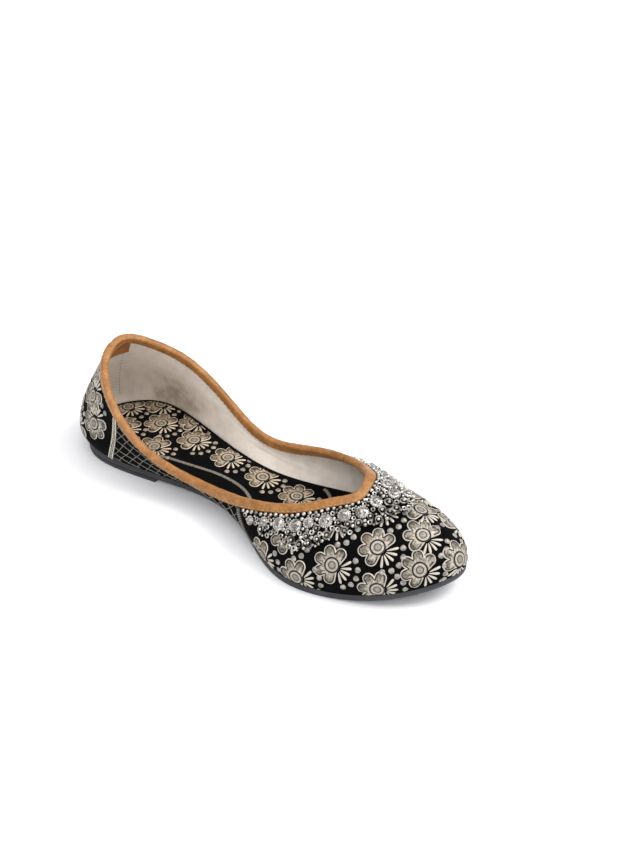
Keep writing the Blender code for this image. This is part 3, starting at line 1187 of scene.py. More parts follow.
@dataclass(frozen=True)
class Blossom:
    """The print's one flower: a ringed eye, five joined petals, a fan of five stamens and a dot beyond each."""

    petal_turns: tuple[float, ...] = (77, 128, 180, 232, 284)
    petal_foot: float = 2.6 * MM
    petal_reach: float = 6.75 * MM
    petal_half: float = 3.0 * MM
    eye: float = 3.7 * MM
    eye_circles: tuple[float, ...] = (0.8, 1.3, 1.8, 2.6, 3.1, 3.45, 3.7)
    fan: tuple[float, ...] = (-39, -19, 0, 19, 39)
    stamen_foot: float = 4.6 * MM
    stamen_head: float = 9.9 * MM
    foot_half: float = 0.32 * MM
    head_half: float = 0.85 * MM
    dot_reaches: tuple[float, ...] = (12.0 * MM, 12.9 * MM, 13.2 * MM, 12.9 * MM, 12.0 * MM)
    dot_half: float = 1.45 * MM
    relief_height: float = 0.5 * MM
    around: int = 120

    @staticmethod
    def polar(reach: float, turn: float) -> Array:
        """A place at a distance and a turn in degrees round the eye."""
        return reach * np.array([math.cos(math.radians(turn)), math.sin(math.radians(turn))])

    def petal_share(self, places: Array) -> Array:
        """How far places lie from the nearest petal's middle line.

        Args:
            places: places round the eye.

        Returns:
            The distances, as shares of the petal's half width.
        """
        gaps = []
        for turn in self.petal_turns:
            line = self.polar(1.0, turn)
            along = np.clip(places @ line, self.petal_foot, self.petal_reach)
            gaps.append(np.linalg.norm(places - along[..., None] * line, axis=-1))
        return np.min(gaps, axis=0) / self.petal_half

    def outline(self, turns: Array) -> Array:
        """How far the head reaches.

        Args:
            turns: directions, in radians.

        Returns:
            The reach in each of them.
        """
        radii = np.arange(0, 10.2, 0.05) * MM
        rays = radii[:, None, None] * on_circle(turns)[None]
        reach = np.where(self.petal_share(rays) <= 1.0, radii[:, None], 0).max(axis=0)
        return np.maximum(reach, self.eye)

    def head_heights(self, places: Array) -> Array:
        """Relief of the head: a rolled rim round the petals, soft bellies, and rings round the eye.

        Args:
            places: places round the eye.

        Returns:
            The heights.
        """
        radius = np.linalg.norm(places, axis=-1)
        petal = np.interp(self.petal_share(places), [0, 0.55, 0.68, 0.76, 0.88, 1.0],
                          [0.8, 0.6, 0.4, 0.4, 1.0, 0.1])
        eye = np.interp(radius / MM, (0,) + self.eye_circles, [1.0, 0.9, 0.55, 0.6, 1.1, 0.9, 0.2, 0.5])
        return self.relief_height * np.where(radius < self.eye, eye, petal)

    def head(self) -> Patch:
        """The eye and the petals.

        Returns:
            The head.
        """
        turns = np.arange(self.around) * 2 * math.pi / self.around
        reach = self.outline(turns)
        radii = [np.full(self.around, circle * MM) for circle in self.eye_circles]
        radii += [self.eye + share * np.maximum(reach - self.eye, 0.02 * MM)
                  for share in (0.14, 0.3, 0.48, 0.64, 0.76, 0.86, 0.94, 1.0)]
        rings = np.array(radii)[:, :, None] * on_circle(turns)[None]
        return ring_patch(rings, np.zeros(2), self.head_heights(rings), self.relief_height)

    def stamen(self, turn: float) -> Patch:
        """One stamen, a narrow drop that widens outwards and leans further out than its foot.

        Args:
            turn: where its head stands, in degrees.

        Returns:
            The stamen.
        """
        foot, head = self.polar(self.stamen_foot, turn * 0.5), self.polar(self.stamen_head, turn)
        angles = np.arange(16) * 2 * math.pi / 16
        half = float(np.linalg.norm(head - foot)) / 2
        width = np.interp(np.cos(angles), [-1, 1], [self.foot_half, self.head_half])
        bulge = np.sign(np.sin(angles)) * np.abs(np.sin(angles)) ** 0.6
        edge = np.stack([half * np.cos(angles), width * bulge], axis=1)
        lean = math.degrees(math.atan2(head[1] - foot[1], head[0] - foot[0]))
        return self.drop(edge, (foot + head) / 2, lean, self.relief_height)

    def dot(self, turn: float, reach: float) -> Patch:
        """One dot beyond a stamen, a low dome with a slightly uneven edge.

        Args:
            turn: where it stands, in degrees.
            reach: how far out.

        Returns:
            The dot.
        """
        angles = np.arange(15) * 2 * math.pi / 15
        edge = self.dot_half * (1 + 0.04 * np.cos(3 * angles + turn))[:, None]
        edge = edge * on_circle(angles)
        return self.drop(edge, self.polar(reach, turn), turn, self.relief_height)

    @staticmethod
    def drop(edge: Array, centre: Array, turn: float, height: float) -> Patch:
        """A dome inside an edge.

        Args:
            edge: the edge round its own middle.
            centre: where its middle goes.
            turn: how far it is turned, in degrees.
            height: how high it stands.

        Returns:
            The patch.
        """
        spin = math.radians(turn)
        matrix = np.array([[math.cos(spin), math.sin(spin)], [-math.sin(spin), math.cos(spin)]])
        rings = np.array([0.5, 0.85, 1.0])[:, None, None] * (edge @ matrix)[None] + centre
        rise = height * np.array([0.9, 0.5, 0.08])
        return ring_patch(rings, np.asarray(centre), np.repeat(rise[:, None], len(edge), axis=1), height)

    def print(self) -> Patch:
        """The whole flower.

        Returns:
            Its patch.
        """
        patches = [self.head()]
        patches += [self.stamen(turn) for turn in self.fan]
        patches += [self.dot(turn, reach) for turn, reach in zip(self.fan, self.dot_reaches)]
        return Patch.join(patches)


class Ground(Protocol):
    """A surface that prints lie on, with places given by two numbers."""

    def walk(self, row: float, up: float, heading: Sequence[float], offsets: Array) -> tuple[Array, Array]:
        """Lay flat places on the surface."""

    def at(self, rows: Array, ups: Array, lift: Array | float = 0.0) -> tuple[Array, Array]:
        """Points and normals of the surface."""


@dataclass
class FlowerField:
    """Flowers printed in raised foil on one panel."""

    name: str
    ground: Ground
    spots: Sequence[tuple[float, float]]
    heading: tuple[float, float, float]
    covers: Callable[[Array, Array], Array]
    blossom: Blossom = Blossom()
    film: float = 0.3 * MM

    def build(self) -> Object:
        """Lay every flower and leave out what falls off the panel.

        Returns:
            The flowers.
        """
        motif = self.blossom.print()
        parts = Parts()
        for a, b in self.spots:
            rows, ups = self.ground.walk(a, b, self.heading, motif.offsets)
            points, _ = self.ground.at(rows, ups, motif.heights)
            kept = self.covers(rows, ups)
            faces = [face for face in motif.faces if all(kept[i] for i in face)]
            used = sorted({i for face in faces for i in face})
            number = {old: new for new, old in enumerate(used)}
            if faces:
                parts.add(points[used], [tuple(number[i] for i in face) for face in faces], motif.offsets[used])
        obj = parts.build(self.name, 65)
        give_wall(obj, self.film, 65)
        return obj


@dataclass(frozen=True)
class FoilPrint(Finish):
    """Champagne foil, hot pressed over raised glue: pale satin rims, streaked petals, dark cracks in the hollows."""

    name: str = "champagne_foil_print"
    hollow: str = "#14100D"
    body_dark: str = "#3A332A"
    body_light: str = "#82796B"
    # Brown of the painted shade that clouds some petals
    brown: str = "#776349"
    rim: str = "#BAB2A5"
    puff_dark: str = "#6B665F"
    puff_light: str = "#A9A49C"
    crease_start: float = 5.1 * MM
    puffs_start: float = 10.4 * MM
    blossom: Blossom = Blossom()

    def sockets(self, nodes: Nodes) -> Sockets:
        """Add the print's nodes, whose lines follow the flower's own lengths in the UV map.

        Args:
            nodes: the material's nodes.

        Returns:
            What the shader's sockets are set to.
        """
        flower, uv = self.blossom, nodes.uv
        radius = nodes.add("VectorMath", {0: uv}, operation="LENGTH").outputs["Value"]
        nearest = None
        for turn in flower.petal_turns:
            line = tuple(flower.polar(1.0, turn)) + (0.0,)
            reach = nodes.add("VectorMath", {0: uv, 1: line}, operation="DOT_PRODUCT").outputs["Value"]
            held = nodes.add("Clamp", {"Value": reach, "Min": flower.petal_foot, "Max": flower.petal_reach})
            foot = nodes.add("VectorMath", {0: line, "Scale": held}, operation="SCALE")
            gap = nodes.add("VectorMath", {0: uv, 1: foot}, operation="DISTANCE").outputs["Value"]
            nearest = gap if nearest is None else nodes.add("Math", {0: nearest, 1: gap}, operation="MINIMUM")
        share = nodes.add("Math", {0: nearest, 1: 2 * flower.petal_half}, operation="DIVIDE")
        turned = nodes.add("TexGradient", {"Vector": uv}, gradient_type="RADIAL")
        streak_place = nodes.add("CombineXYZ", {
            "X": nodes.add("Math", {0: turned, 1: 44.0}, operation="MULTIPLY"),
            "Y": nodes.add("Math", {0: radius, 1: 1 / (3.5 * MM)}, operation="MULTIPLY")})
        streaks = nodes.add("TexNoise", {"Vector": streak_place, "Scale": 1.0, "Detail": 3, "Roughness": 0.6})
        wear = nodes.add("TexNoise", {"Vector": nodes.place, "Scale": 1 / (1.4 * MM), "Detail": 4, "Roughness": 0.7})
        cloud = nodes.add("TexNoise", {"Vector": nodes.place, "Scale": 1 / (11 * MM), "Detail": 2})
        mixed = nodes.add("Math", {0: streaks, 1: wear}, operation="ADD")
        halved = nodes.add("Math", {0: mixed, 1: 0.5}, operation="MULTIPLY")
        near_eye = nodes.add("MapRange", {"Value": radius, "From Min": 4 * MM, "From Max": 7.5 * MM,
                                          "To Min": 0.12, "To Max": 0.0})
        shade = nodes.add("Math", {0: halved, 1: near_eye}, operation="ADD")
        body = nodes.add("ValToRGB", {"Fac": shade}, [(0.4, self.hollow), (0.68, self.rim),
                                                      (0.455, self.body_dark), (0.56, self.body_light)])
        # Painted shade: random clouds of brown that stand in for the warmer look of petals in shade
        shade_browning = nodes.add("MapRange", {"Value": cloud, "From Min": 0.5, "From Max": 0.7, "To Max": 0.55})
        warm = nodes.add("Mix", {0: shade_browning, 6: body, 7: srgb(self.brown)}, data_type="RGBA")
        rims = nodes.add("ValToRGB", {"Fac": share}, [(0.0, "#000000"), (1.0, "#FFFFFF"), (0.395, "#000000"),
                                                      (0.42, "#FFFFFF")])
        creased = nodes.add("ValToRGB", {"Fac": share}, [
            (0.0, "#000000"), (1.0, "#000000"), (0.29, "#000000"), (0.315, "#FFFFFF"), (0.385, "#FFFFFF"),
            (0.405, "#000000")])
        outside = nodes.add("Math", {0: radius, 1: self.crease_start}, operation="GREATER_THAN")
        petal_lines = nodes.add("Math", {0: creased, 1: outside}, operation="MULTIPLY")
        eye_share = nodes.add("Math", {0: radius, 1: flower.eye}, operation="DIVIDE")
        eye_lines = nodes.add("ValToRGB", {"Fac": eye_share}, [
            (0.0, "#F0F0F0"), (1.0, "#F8F8F8"), (0.1, "#A8A8A8"), (0.2, "#808080"), (0.3, "#D8D8D8"),
            (0.38, "#909090"), (0.43, "#FFFFFF"), (0.49, "#FFFFFF"), (0.55, "#707070"), (0.8, "#404040"),
            (0.85, "#FFFFFF"), (0.97, "#FFFFFF")])
        in_eye = nodes.add("Math", {0: eye_share, 1: 1.06}, operation="LESS_THAN")
        bright = nodes.add("Mix", {0: in_eye, 6: rims, 7: streaks}, data_type="RGBA").outputs[2]
        lines = nodes.add("Mix", {0: in_eye, 6: petal_lines, 7: eye_lines}, data_type="RGBA").outputs[2]
        pale = nodes.add("Mix", {0: bright, 6: warm.outputs[2], 7: srgb(self.rim)}, data_type="RGBA")
        puffs = nodes.add("ValToRGB", {"Fac": wear}, [(0.4, self.puff_dark), (0.62, self.puff_light)])
        is_puff = nodes.add("Math", {0: radius, 1: self.puffs_start}, operation="GREATER_THAN")
        dull = nodes.add("Mix", {0: is_puff, 6: pale.outputs[2], 7: puffs}, data_type="RGBA")
        lined = nodes.add("Mix", {0: lines, 6: dull.outputs[2], 7: srgb(self.hollow)}, data_type="RGBA")
        relief = nodes.add("Math", {0: streaks, 1: lines}, operation="SUBTRACT")
        return {"Base Color": lined.outputs[2], "Metallic": 0.25,
                "Roughness": nodes.add("MapRange", {"Value": wear, "To Min": 0.6, "To Max": 0.34}),
                "Normal": nodes.add("Bump", {"Height": relief, "Strength": 0.6, "Distance": 0.15 * MM})}


# The pieces

def dress(obj: Object, slot: Slot, finish: bpy.types.Material, *nodes: str) -> Object:
    """Give a piece its finish, its body and the nodes that it stands for.

    Args:
        obj: the piece.
        slot: the record's slot; not used.
        finish: the material.
        nodes: the CAD nodes that it replaces.

    Returns:
        The piece.
    """
    obj.data.materials.clear()
    obj.data.materials.append(finish)
    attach(obj, BODY)
    if nodes:
        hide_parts(*nodes)
    log.info("%s: %d faces", obj.name, len(obj.data.polygons))
    return obj


@dataclass
class Upper:
    """The velvet shell, the canvas that lines it, and the seam inside its inner side."""

    skin: Skin
    velvet_thickness: float = 0.9 * MM
    lining_start: float = 1.0 * MM
    lining_thickness: float = 0.8 * MM
    columns: int = 240
    levels: int = 56
    tucked_up: float = -0.006
    seam_row: float = 19.4
    seam_ups: tuple[float, float] = (0.17, 0.79)
    seam_stitches: int = 15

    def sheet(self, lift: float, lowest: float) -> tuple[Array, Array, float]:
        """An open sheet over the last.

        Args:
            lift: its height over the outer face.
            lowest: the up that it starts at.

        Returns:
            Its points by level and column, its lengths along and up, and the length round it.
        """
        rows, ups = np.meshgrid(np.arange(self.columns) * ROUND / self.columns, np.linspace(lowest, 1, self.levels))
        points, _ = self.skin.at(rows, ups, lift)
        around = np.linalg.norm(np.roll(points, -1, axis=1) - points, axis=2)
        rises = np.linalg.norm(np.diff(points, axis=0), axis=2)
        high = np.concatenate([np.zeros((1, self.columns)), np.cumsum(rises, axis=0)])
        mean = float(around.sum(axis=1).mean())
        share = (np.cumsum(around, axis=1) - around) / around.sum(axis=1, keepdims=True)
        return points, np.stack([share * mean, high], axis=2), mean

    def layer(self, name: str, lift: float, lowest: float, thickness: float) -> Object:
        """One closed layer of cloth over the last.

        Args:
            name: the piece's name.
            lift: height of its outer side over the outer face.
            lowest: the up that it starts at.
            thickness: its thickness.

        Returns:
            The layer.
        """
        points, uvs, length = self.sheet(lift, lowest)
        obj = mesh_object(name, points, grid_faces(self.levels, self.columns, True), uvs, period=length)
        give_wall(obj, thickness)
        return obj

    def velvet(self) -> Object:
        """The outer shell."""
        return self.layer("velvet_upper", 0.0, self.tucked_up, self.velvet_thickness)

    def lining(self) -> Object:
        """The canvas inside."""
        return self.layer("canvas_lining", -self.lining_start, 0.0, self.lining_thickness)

    def seam(self, stitch: Stamp) -> Object:
        """The stitches of the lining's seam.

        Args:
            stitch: one stitch.

        Returns:
            The stitches.
        """
        gathering = Gathering()
        count = self.seam_stitches
        depth = self.lining_start + self.lining_thickness + 0.05 * MM
        points, normals = self.skin.at(np.full(count, self.seam_row), np.linspace(*self.seam_ups, count), -depth)
        for k in range(count):
            along = points[min(k + 1, count - 1)] - points[max(k - 1, 0)]
            gathering.add(stitch, points[k], upright_axes(-normals[k], along), (1.7 * MM, 0.45 * MM, 0.4 * MM))
        return gathering.build("lining_stitches")


@dataclass
class Panels:
    """Where each panel of the upper begins and ends, for the prints and the net."""

    skin: Skin
    heel_top: float = 3.07
    heel_foot: float = 2.45
    vamp_top: float = 5.90
    vamp_foot: float = 5.80
    under_binding: float = 3.8 * MM

    def braid_row(self, ups: Array, top: float, foot: float) -> Array:
        """Row of a braid's middle at each up."""
        return foot + (top - foot) * np.clip((ups - 0.02) / 0.86, 0, 1.1)

    def shown(self, rows: Array, ups: Array) -> Array:
        """Whether places lie between the sole and the binding."""
        return (ups >= 0.002) & (self.skin.depth_at(rows, ups) > self.under_binding)

    def counter(self, rows: Array, ups: Array) -> Array:
        """Whether places lie on the panel round the heel."""
        from_back = np.abs(rows_past(rows))
        return self.shown(rows, ups) & (from_back < self.braid_row(ups, self.heel_top, self.heel_foot))

    def vamp(self, rows: Array, ups: Array) -> Array:
        """Whether places lie on the panel over the toes and clear of the deepest beads.

        Args:
            rows: rows.
            ups: ups.

        Returns:
            Yes or no for each place.
        """
        from_back = np.abs(rows_past(rows))
        clear = self.skin.depth_at(rows, ups) > trim_hem(rows) - 5 * MM
        return self.shown(rows, ups) & clear & (from_back > self.braid_row(ups, self.vamp_top, self.vamp_foot))

    def quarter(self, rows: Array, ups: Array) -> Array:
        """Whether places lie on the netted panel at the waist."""
        from_back = np.abs(rows_past(rows))
        return (self.shown(rows, ups) & (from_back > self.braid_row(ups, self.heel_top, self.heel_foot))
                & (from_back < self.braid_row(ups, self.vamp_top, self.vamp_foot)))


# How far below the collar the bead trim hangs at each row of the outer side
TRIM_HEM = ((6.1, 11), (6.3, 12), (6.45, 17), (6.6, 17.5), (6.72, 13), (6.85, 20), (7.05, 23), (7.35, 23.5),
            (7.65, 21.5), (7.85, 20), (8.05, 16), (8.25, 20), (8.45, 21), (8.62, 17), (8.85, 18.5),
            (9.1, 20), (9.4, 21.5), (9.7, 22.5), (10.0, 24))


def trim_hem(rows: Array) -> Array:
    """Depth of the bead trim's uneven lower edge, with the inner side like the outer.

    Args:
        rows: rows.

    Returns:
        The depths below the collar.
    """
    table = np.array(TRIM_HEM)
    from_back = np.abs(rows_past(rows))
    tongue = 5.0 * MM * np.exp(-((np.mod(rows, ROUND) - 10.35) / 0.45) ** 2)
    return np.interp(from_back, table[:, 0], table[:, 1] * MM) + tongue


@dataclass
class Binding:
    """The tan leather strip, folded over the collar's edge and stitched through."""

    skin: Skin
    depth: float = 4.2 * MM
    inner_depth: float = 4.4 * MM
    wall: float = 1.8 * MM
    clearance: float = 0.22 * MM
    puff: float = 1.0 * MM
    columns: int = 320
    lap_row: float = 0.62
    lap_rise: float = 0.35 * MM
    stitch_pitch: float = 3.0 * MM

    def lap(self, rows: Array) -> Array:
        """Extra height where the strip's end laps over its start, near the back of the outer side."""
        past = rows_past(rows, self.lap_row)
        return self.lap_rise * np.clip((past + 0.05) / 0.05, 0, 1) * np.clip((1.1 - past) / 0.9, 0, 1)

    def build(self) -> Object:
        """Draw the section round the collar.

        Returns:
            The binding.
        """
        rows = np.arange(self.columns) * ROUND / self.columns
        hand = 0.05 * MM * (np.sin(rows * 9.3) + np.sin(rows * 23.1 + 1) + 0.7 * np.sin(rows * 41.7 + 2))
        puff = self.puff + hand + self.lap(rows)
        wall, gap = self.wall, self.clearance
        levels: list[Array] = []
        outer = ((1.00, 0.35), (1.00, 0.62), (0.96, 0.86), (0.86, 0.97), (0.66, 1.06), (0.44, 1.1), (0.22, 1.06))
        for share, full in outer:
            ups = self.skin.up_at(rows, self.depth * share + hand)
            levels.append(self.skin.at(rows, ups, puff * full)[0])
        edge, out = self.skin.at(rows, np.ones(self.columns))
        below, _ = self.skin.at(rows, self.skin.up_at(rows, 2 * MM))
        up = unit(edge - below)
        for turn in np.radians(np.linspace(12, 168, 9)):
            across = (wall / 2 + puff) * math.cos(turn)
            levels.append(edge - out * wall / 2 + out * across[:, None] + up * (puff * math.sin(turn))[:, None])
        for share, full in reversed(outer):
            ups = self.skin.up_at(rows, self.inner_depth * share - hand)
            levels.append(self.skin.at(rows, ups, -wall - puff * full)[0])
        inner_ups = self.skin.up_at(rows, self.inner_depth * 0.99)
        levels.append(self.skin.at(rows, inner_ups, -wall - gap)[0])
        levels.append(edge - out * (wall + gap) + up * gap)
        levels.append(edge + out * gap + up * gap)
        levels.append(self.skin.at(rows, self.skin.up_at(rows, self.depth * 0.99), gap)[0])
        grid = np.array(levels)
        count = len(levels)
        along = run_along(edge)
        across_lengths = run_along(grid[:, 0])
        uvs = np.stack(np.meshgrid(along, across_lengths), axis=2)
        faces = grid_faces(count, self.columns, True)
        last = (count - 1) * self.columns
        faces += [(last + i, last + (i + 1) % self.columns, (i + 1) % self.columns, i)
                  for i in range(self.columns)]
        period = float(along[-1] + np.linalg.norm(edge[0] - edge[-1]))
        return mesh_object("leather_binding", grid, faces, uvs, period=period, sharp_degrees=60)

    def stitches(self, stitch: Stamp) -> Object:
        """The row of stitches near the strip's lower edge, on both faces.

        Args:
            stitch: one stitch.

        Returns:
            The stitches.
        """
        gathering = Gathering()
        fine = np.linspace(0, ROUND, 801)
        for lift, depth in ((self.puff, self.depth), (-self.wall - self.puff, self.inner_depth)):
            ups = self.skin.up_at(fine, depth - 0.75 * MM)
            points, normals = self.skin.at(fine, ups, lift + math.copysign(1, lift) * self.lap(fine))
            run = run_along(points)
            count = int(run[-1] / self.stitch_pitch)
            for k in range(count):
                i = int(np.searchsorted(run, (k + 0.5) * run[-1] / count))
                along = points[min(i + 1, 800)] - points[i - 1]
                axes = upright_axes(normals[i] * math.copysign(1, lift), along)
                gathering.add(stitch, points[i], axes, (1.9 * MM, 0.4 * MM, 0.36 * MM))
        return gathering.build("binding_stitches")


@dataclass
class HeelTab:
    """The brown leather patch inside the top of the heel."""

    skin: Skin
    half_width: float = 9.4 * MM
    top_depth: float = 0.9 * MM
    low_depth: float = 16.0 * MM
    on_lining: float = 1.85 * MM
    on_binding: float = 2.95 * MM
    bend_start: float = 2.6 * MM
    bend_length: float = 2.4 * MM
    thickness: float = 0.7 * MM
    edge: float = 0.28 * MM

    def build(self) -> Object:
        """Lay the patch over the binding and down the lining, with its lower edge curved and its rim thin.

        Returns:
            The patch.
        """
        across, deep = 33, 24
        near = self.skin.bare(np.array([-0.2, 0.2]), np.array([0.9, 0.9]))
        per_row = float(np.linalg.norm(near[1] - near[0])) / 0.4
        sides = np.linspace(-1, 1, across)
        rows = sides * self.half_width / per_row
        points = []
        for share in np.linspace(1, 0, deep):
            reach = self.top_depth + (self.low_depth - self.top_depth) * (1 - 0.14 * sides**2) * share
            down = smooth((reach - self.bend_start) / self.bend_length)
            rim = np.minimum(1, 12 * np.minimum(1 - np.abs(sides), min(1 - share, share + 0.02)) + 0.3)
            lift = self.on_binding + (self.on_lining - self.on_binding) * down + self.thickness * rim**0.5
            points.append(self.skin.at(rows, self.skin.up_at(rows, reach), -lift)[0])
        uvs = np.stack(np.meshgrid(sides * self.half_width, np.linspace(0, self.low_depth, deep)), axis=2)
        obj = mesh_object("heel_tab_patch", np.array(points), grid_faces(deep, across, flip=True), uvs)
        give_wall(obj, self.edge)
        return obj


@dataclass
class SoleSlab:
    """A flat layer of the shoe's bottom, lofted through outlines from low to high."""

    last: Last
    skin: Skin
    side_points: int = 110
    across: int = 12

    def outline(self, offset: float, until: float | None = None) -> tuple[Array, Array]:
        """The two sides of the sole's outline.

        Args:
            offset: how far out from the last.
            until: where a straight cut ends them, from the back of the heel.

        Returns:
            The outer and the inner side, both from the heel to the toe or the cut.
        """
        rows = np.linspace(0, TOE, 2001)
        halves = []
        for sign in (1, -1):
            foot = self.skin.spline(rows * sign)[:, 0:2]
            tangent = self.skin.spline((rows + 0.05) * sign)[:, 0:2] - self.skin.spline((rows - 0.05) * sign)[:, 0:2]
            out = unit(np.stack([tangent[:, 1], -tangent[:, 0]], axis=1)) * sign
            plan = foot + out * offset
            plan[:, 1] += self.last.swing(plan[:, 0], np.zeros(len(plan)))
            if until is not None:
                plan = plan[plan[:, 0] < until]
                plan = np.vstack([plan, [[until, plan[-1, 1]]]])
            run = run_along(plan)
            wanted = np.linspace(0, run[-1], self.side_points)
            halves.append(np.stack([np.interp(wanted, run, plan[:, k]) for k in (0, 1)], axis=1))
        return halves[0], halves[1]

    def build(self, name: str, levels: Sequence[tuple[float, Callable[[Array], Array]]],
              until: float | None = None, crown: float = 0.0) -> Object:
        """Loft one layer.

        Args:
            name: the piece's name.
            levels: offsets, each with the height over the floor that it lies at.
            until: where a straight cut ends it.
            crown: how much its top swells in the middle.

        Returns:
            The layer.
        """
        rings, sides = [], []
        for offset, height in levels:
            outer, inner = self.outline(offset, until)
            sides.append((outer, inner))
            closing = inner[-2:0:-1] if until is None else inner[:0:-1]
            loop = np.vstack([outer, closing])
            rings.append(np.column_stack([loop, height(loop[:, 0])]))
        count = len(rings[0])
        points = np.vstack(rings)
        faces = grid_faces(len(rings), count, True)
        extra: list[Array] = []
        shares = np.arange(1, self.across) / self.across
        for level, flip in ((0, True), (len(rings) - 1, False)):
            (outer, inner), height, start = sides[level], levels[level][1], level * count
            swell = 0.0 if flip else crown
            columns: list[list[int]] = []
            for i in range(self.side_points):
                a, b = start + i, start + (count - i) % count
                if a == b:
                    columns.append([a] * (self.across + 1))
                    continue
                first = len(points) + len(extra)
                for share in shares:
                    place = outer[i] + (inner[i] - outer[i]) * share
                    z = float(height(np.array([place[0]]))[0])
                    extra.append(np.array([place[0], place[1], z + swell * (1 - (2 * share - 1) ** 2)]))
                columns.append([a, *range(first, first + len(shares)), b])
            for left, right in zip(columns, columns[1:]):
                for k in range(self.across):
                    face = tuple(dict.fromkeys((left[k], right[k], right[k + 1], left[k + 1])))
                    if len(face) > 2:
                        faces.append(face[::-1] if flip else face)
        points = np.vstack([points, np.array(extra)])
        points[:, 0] -= self.last.heel_centre
        if signed_volume(points, faces) < 0:
            faces = [face[::-1] for face in faces]
        return mesh_object(name, points, faces, sharp_degrees=35)


@dataclass
class Bottom:
    """The sole, the heel lift and the footbed."""

    last: Last
    slab: SoleSlab

    def outsole(self) -> Object:
        """The rubber sole, with softened edges and a moulded step below its top.

        Returns:
            The sole.
        """
        line, thick, margin = self.last.sole_line, self.last.sole_thickness, self.last.sole_margin
        levels = [(margin - 0.5 * MM, line), (margin - 0.15 * MM, lambda x: line(x) + 0.12 * MM),
                  (margin, lambda x: line(x) + 0.5 * MM), (margin, lambda x: line(x) + 1.9 * MM),
                  (margin - 0.18 * MM, lambda x: line(x) + 2.05 * MM),
                  (margin - 0.18 * MM, lambda x: line(x) + thick - 0.25 * MM),
                  (margin - 0.4 * MM, lambda x: line(x) + thick)]
        return self.slab.build("rubber_outsole", levels)

    def heel_lift(self) -> Object:
        """The lift under the heel.

        Returns:
            The lift.
        """
        margin, lift = self.last.sole_margin, self.last.heel_lift
        levels = [(margin - 0.5 * MM, lambda x: 0 * x), (margin - 0.15 * MM, lambda x: 0 * x + 0.12 * MM),
                  (margin, lambda x: 0 * x + 0.5 * MM), (margin, lambda x: 0 * x + lift - 0.15 * MM),
                  (margin - 0.15 * MM, lambda x: 0 * x + lift)]
        return self.slab.build("rubber_heel_lift", levels, until=self.last.heel_length)

    def footbed(self) -> Object:
        """The board under its velvet, with a rolled edge.

        Returns:
            The footbed.
        """
        edge, top = -(self.last.wall + 0.6 * MM), self.last.insole_top
        levels = [(edge, lambda x: top(x) - self.last.insole_thickness), (edge, lambda x: top(x) - 0.7 * MM),
                  (edge - 0.2 * MM, lambda x: top(x) - 0.25 * MM), (edge - 0.7 * MM, top)]
        return self.slab.build("insole_cover", levels, crown=0.25 * MM)


@dataclass
class Footbed:
    """The footbed's top as a ground for prints, with places along and across in the part's frame."""

    last: Last
    crown: float = 0.12 * MM

    def walk(self, row: float, up: float, heading: Sequence[float], offsets: Array) -> tuple[Array, Array]:
        """Lay flat places on the footbed.

        Args:
            row: the spot's place along.
            up: the spot's place across.
            heading: where the print's first axis points.
            offsets: places on the print.

        Returns:
            Places along and across.
        """
        first = unit(np.asarray(heading, float)[:2])
        second = np.array([-first[1], first[0]])
        places = np.array([row, up]) + offsets[:, 0:1] * first + offsets[:, 1:2] * second
        return places[:, 0], places[:, 1]

    def at(self, rows: Array, ups: Array, lift: Array | float = 0.0) -> tuple[Array, Array]:
        """Points and normals of the footbed's top.

        Args:
            rows: places along.
            ups: places across.
            lift: heights over the top.

        Returns:
            The points and the normals.
        """
        rows, ups = np.asarray(rows, float), np.asarray(ups, float)
        along = rows + self.last.heel_centre
        slope = (self.last.insole_top(along + MM) - self.last.insole_top(along - MM)) / (2 * MM)
        normal = unit(np.stack([-slope, 0 * slope, 0 * slope + 1], axis=-1))
        top = np.stack([rows, ups, self.last.insole_top(along) + self.crown], axis=-1)
        return top + normal * np.broadcast_to(lift, rows.shape)[..., None], normal


class BraidStyle(Enum):
    """How a braid is worked."""

    PLAITED = "two rows of slanted yarns between bright cords, with a dark middle"
    RIBBED = "a tape with ribs straight across"


@dataclass
class Braid:
    """A metallic braid sewn down one side, from the binding to the sole."""

    name: str
    node: str
    skin: Skin
    top_row: float
    foot_row: float
    style: BraidStyle
    width: float = 2.9 * MM
    base: float = 0.45 * MM
    steps: int = 60

    def build(self, yarn: Stamp) -> Object:
        """Sweep the tape and lay its yarns.

        Args:
            yarn: one turn of yarn.

        Returns:
            The braid.
        """
        top_up = float(self.skin.up_at(np.array([self.top_row]), 4.6 * MM)[0])
        shares = np.linspace(0, 1, self.steps)
        rows = self.foot_row + (self.top_row - self.foot_row) * shares
        ups = 0.004 + (top_up - 0.004) * shares
        points, normals = self.skin.at(rows, ups)
        half = self.width / 2
        section = tape_section(self.width, -0.05 * MM, 0.7 * self.base, self.base, 0.7)
        tape, faces, _ = sweep(points, normals, section)
        gathering = Gathering()
        gathering.add(Stamp(tape, faces), np.zeros(3), np.eye(3), tone=0.15)
        run = run_along(points)
        pitch = 1.25 * MM if self.style is BraidStyle.PLAITED else 1.1 * MM
        for k in range(int(run[-1] / pitch)):
            at = (k + 0.5) * pitch
            place, normal = read_path(at, run, points), unit(read_path(at, run, normals))
            ahead = unit(read_path(at + MM, run, points) - read_path(at - MM, run, points))
            side = np.cross(normal, ahead)
            if self.style is BraidStyle.RIBBED:
                gathering.add(yarn, place + normal * self.base, upright_axes(normal, side),
                              (self.width * 0.96, 0.72 * MM, 0.6 * MM))
                continue
            for hand in (-1, 1):
                cord = place + side * hand * half * 0.74 + normal * self.base
                gathering.add(yarn, cord, upright_axes(normal, ahead + side * hand * 0.35),
                              (1.5 * MM, 0.85 * MM, 0.8 * MM))
            gathering.add(yarn, place + normal * self.base, upright_axes(normal, ahead),
                          (0.8 * MM, 0.66 * MM, 0.55 * MM), 0.95)
        return gathering.build(self.name, 60)


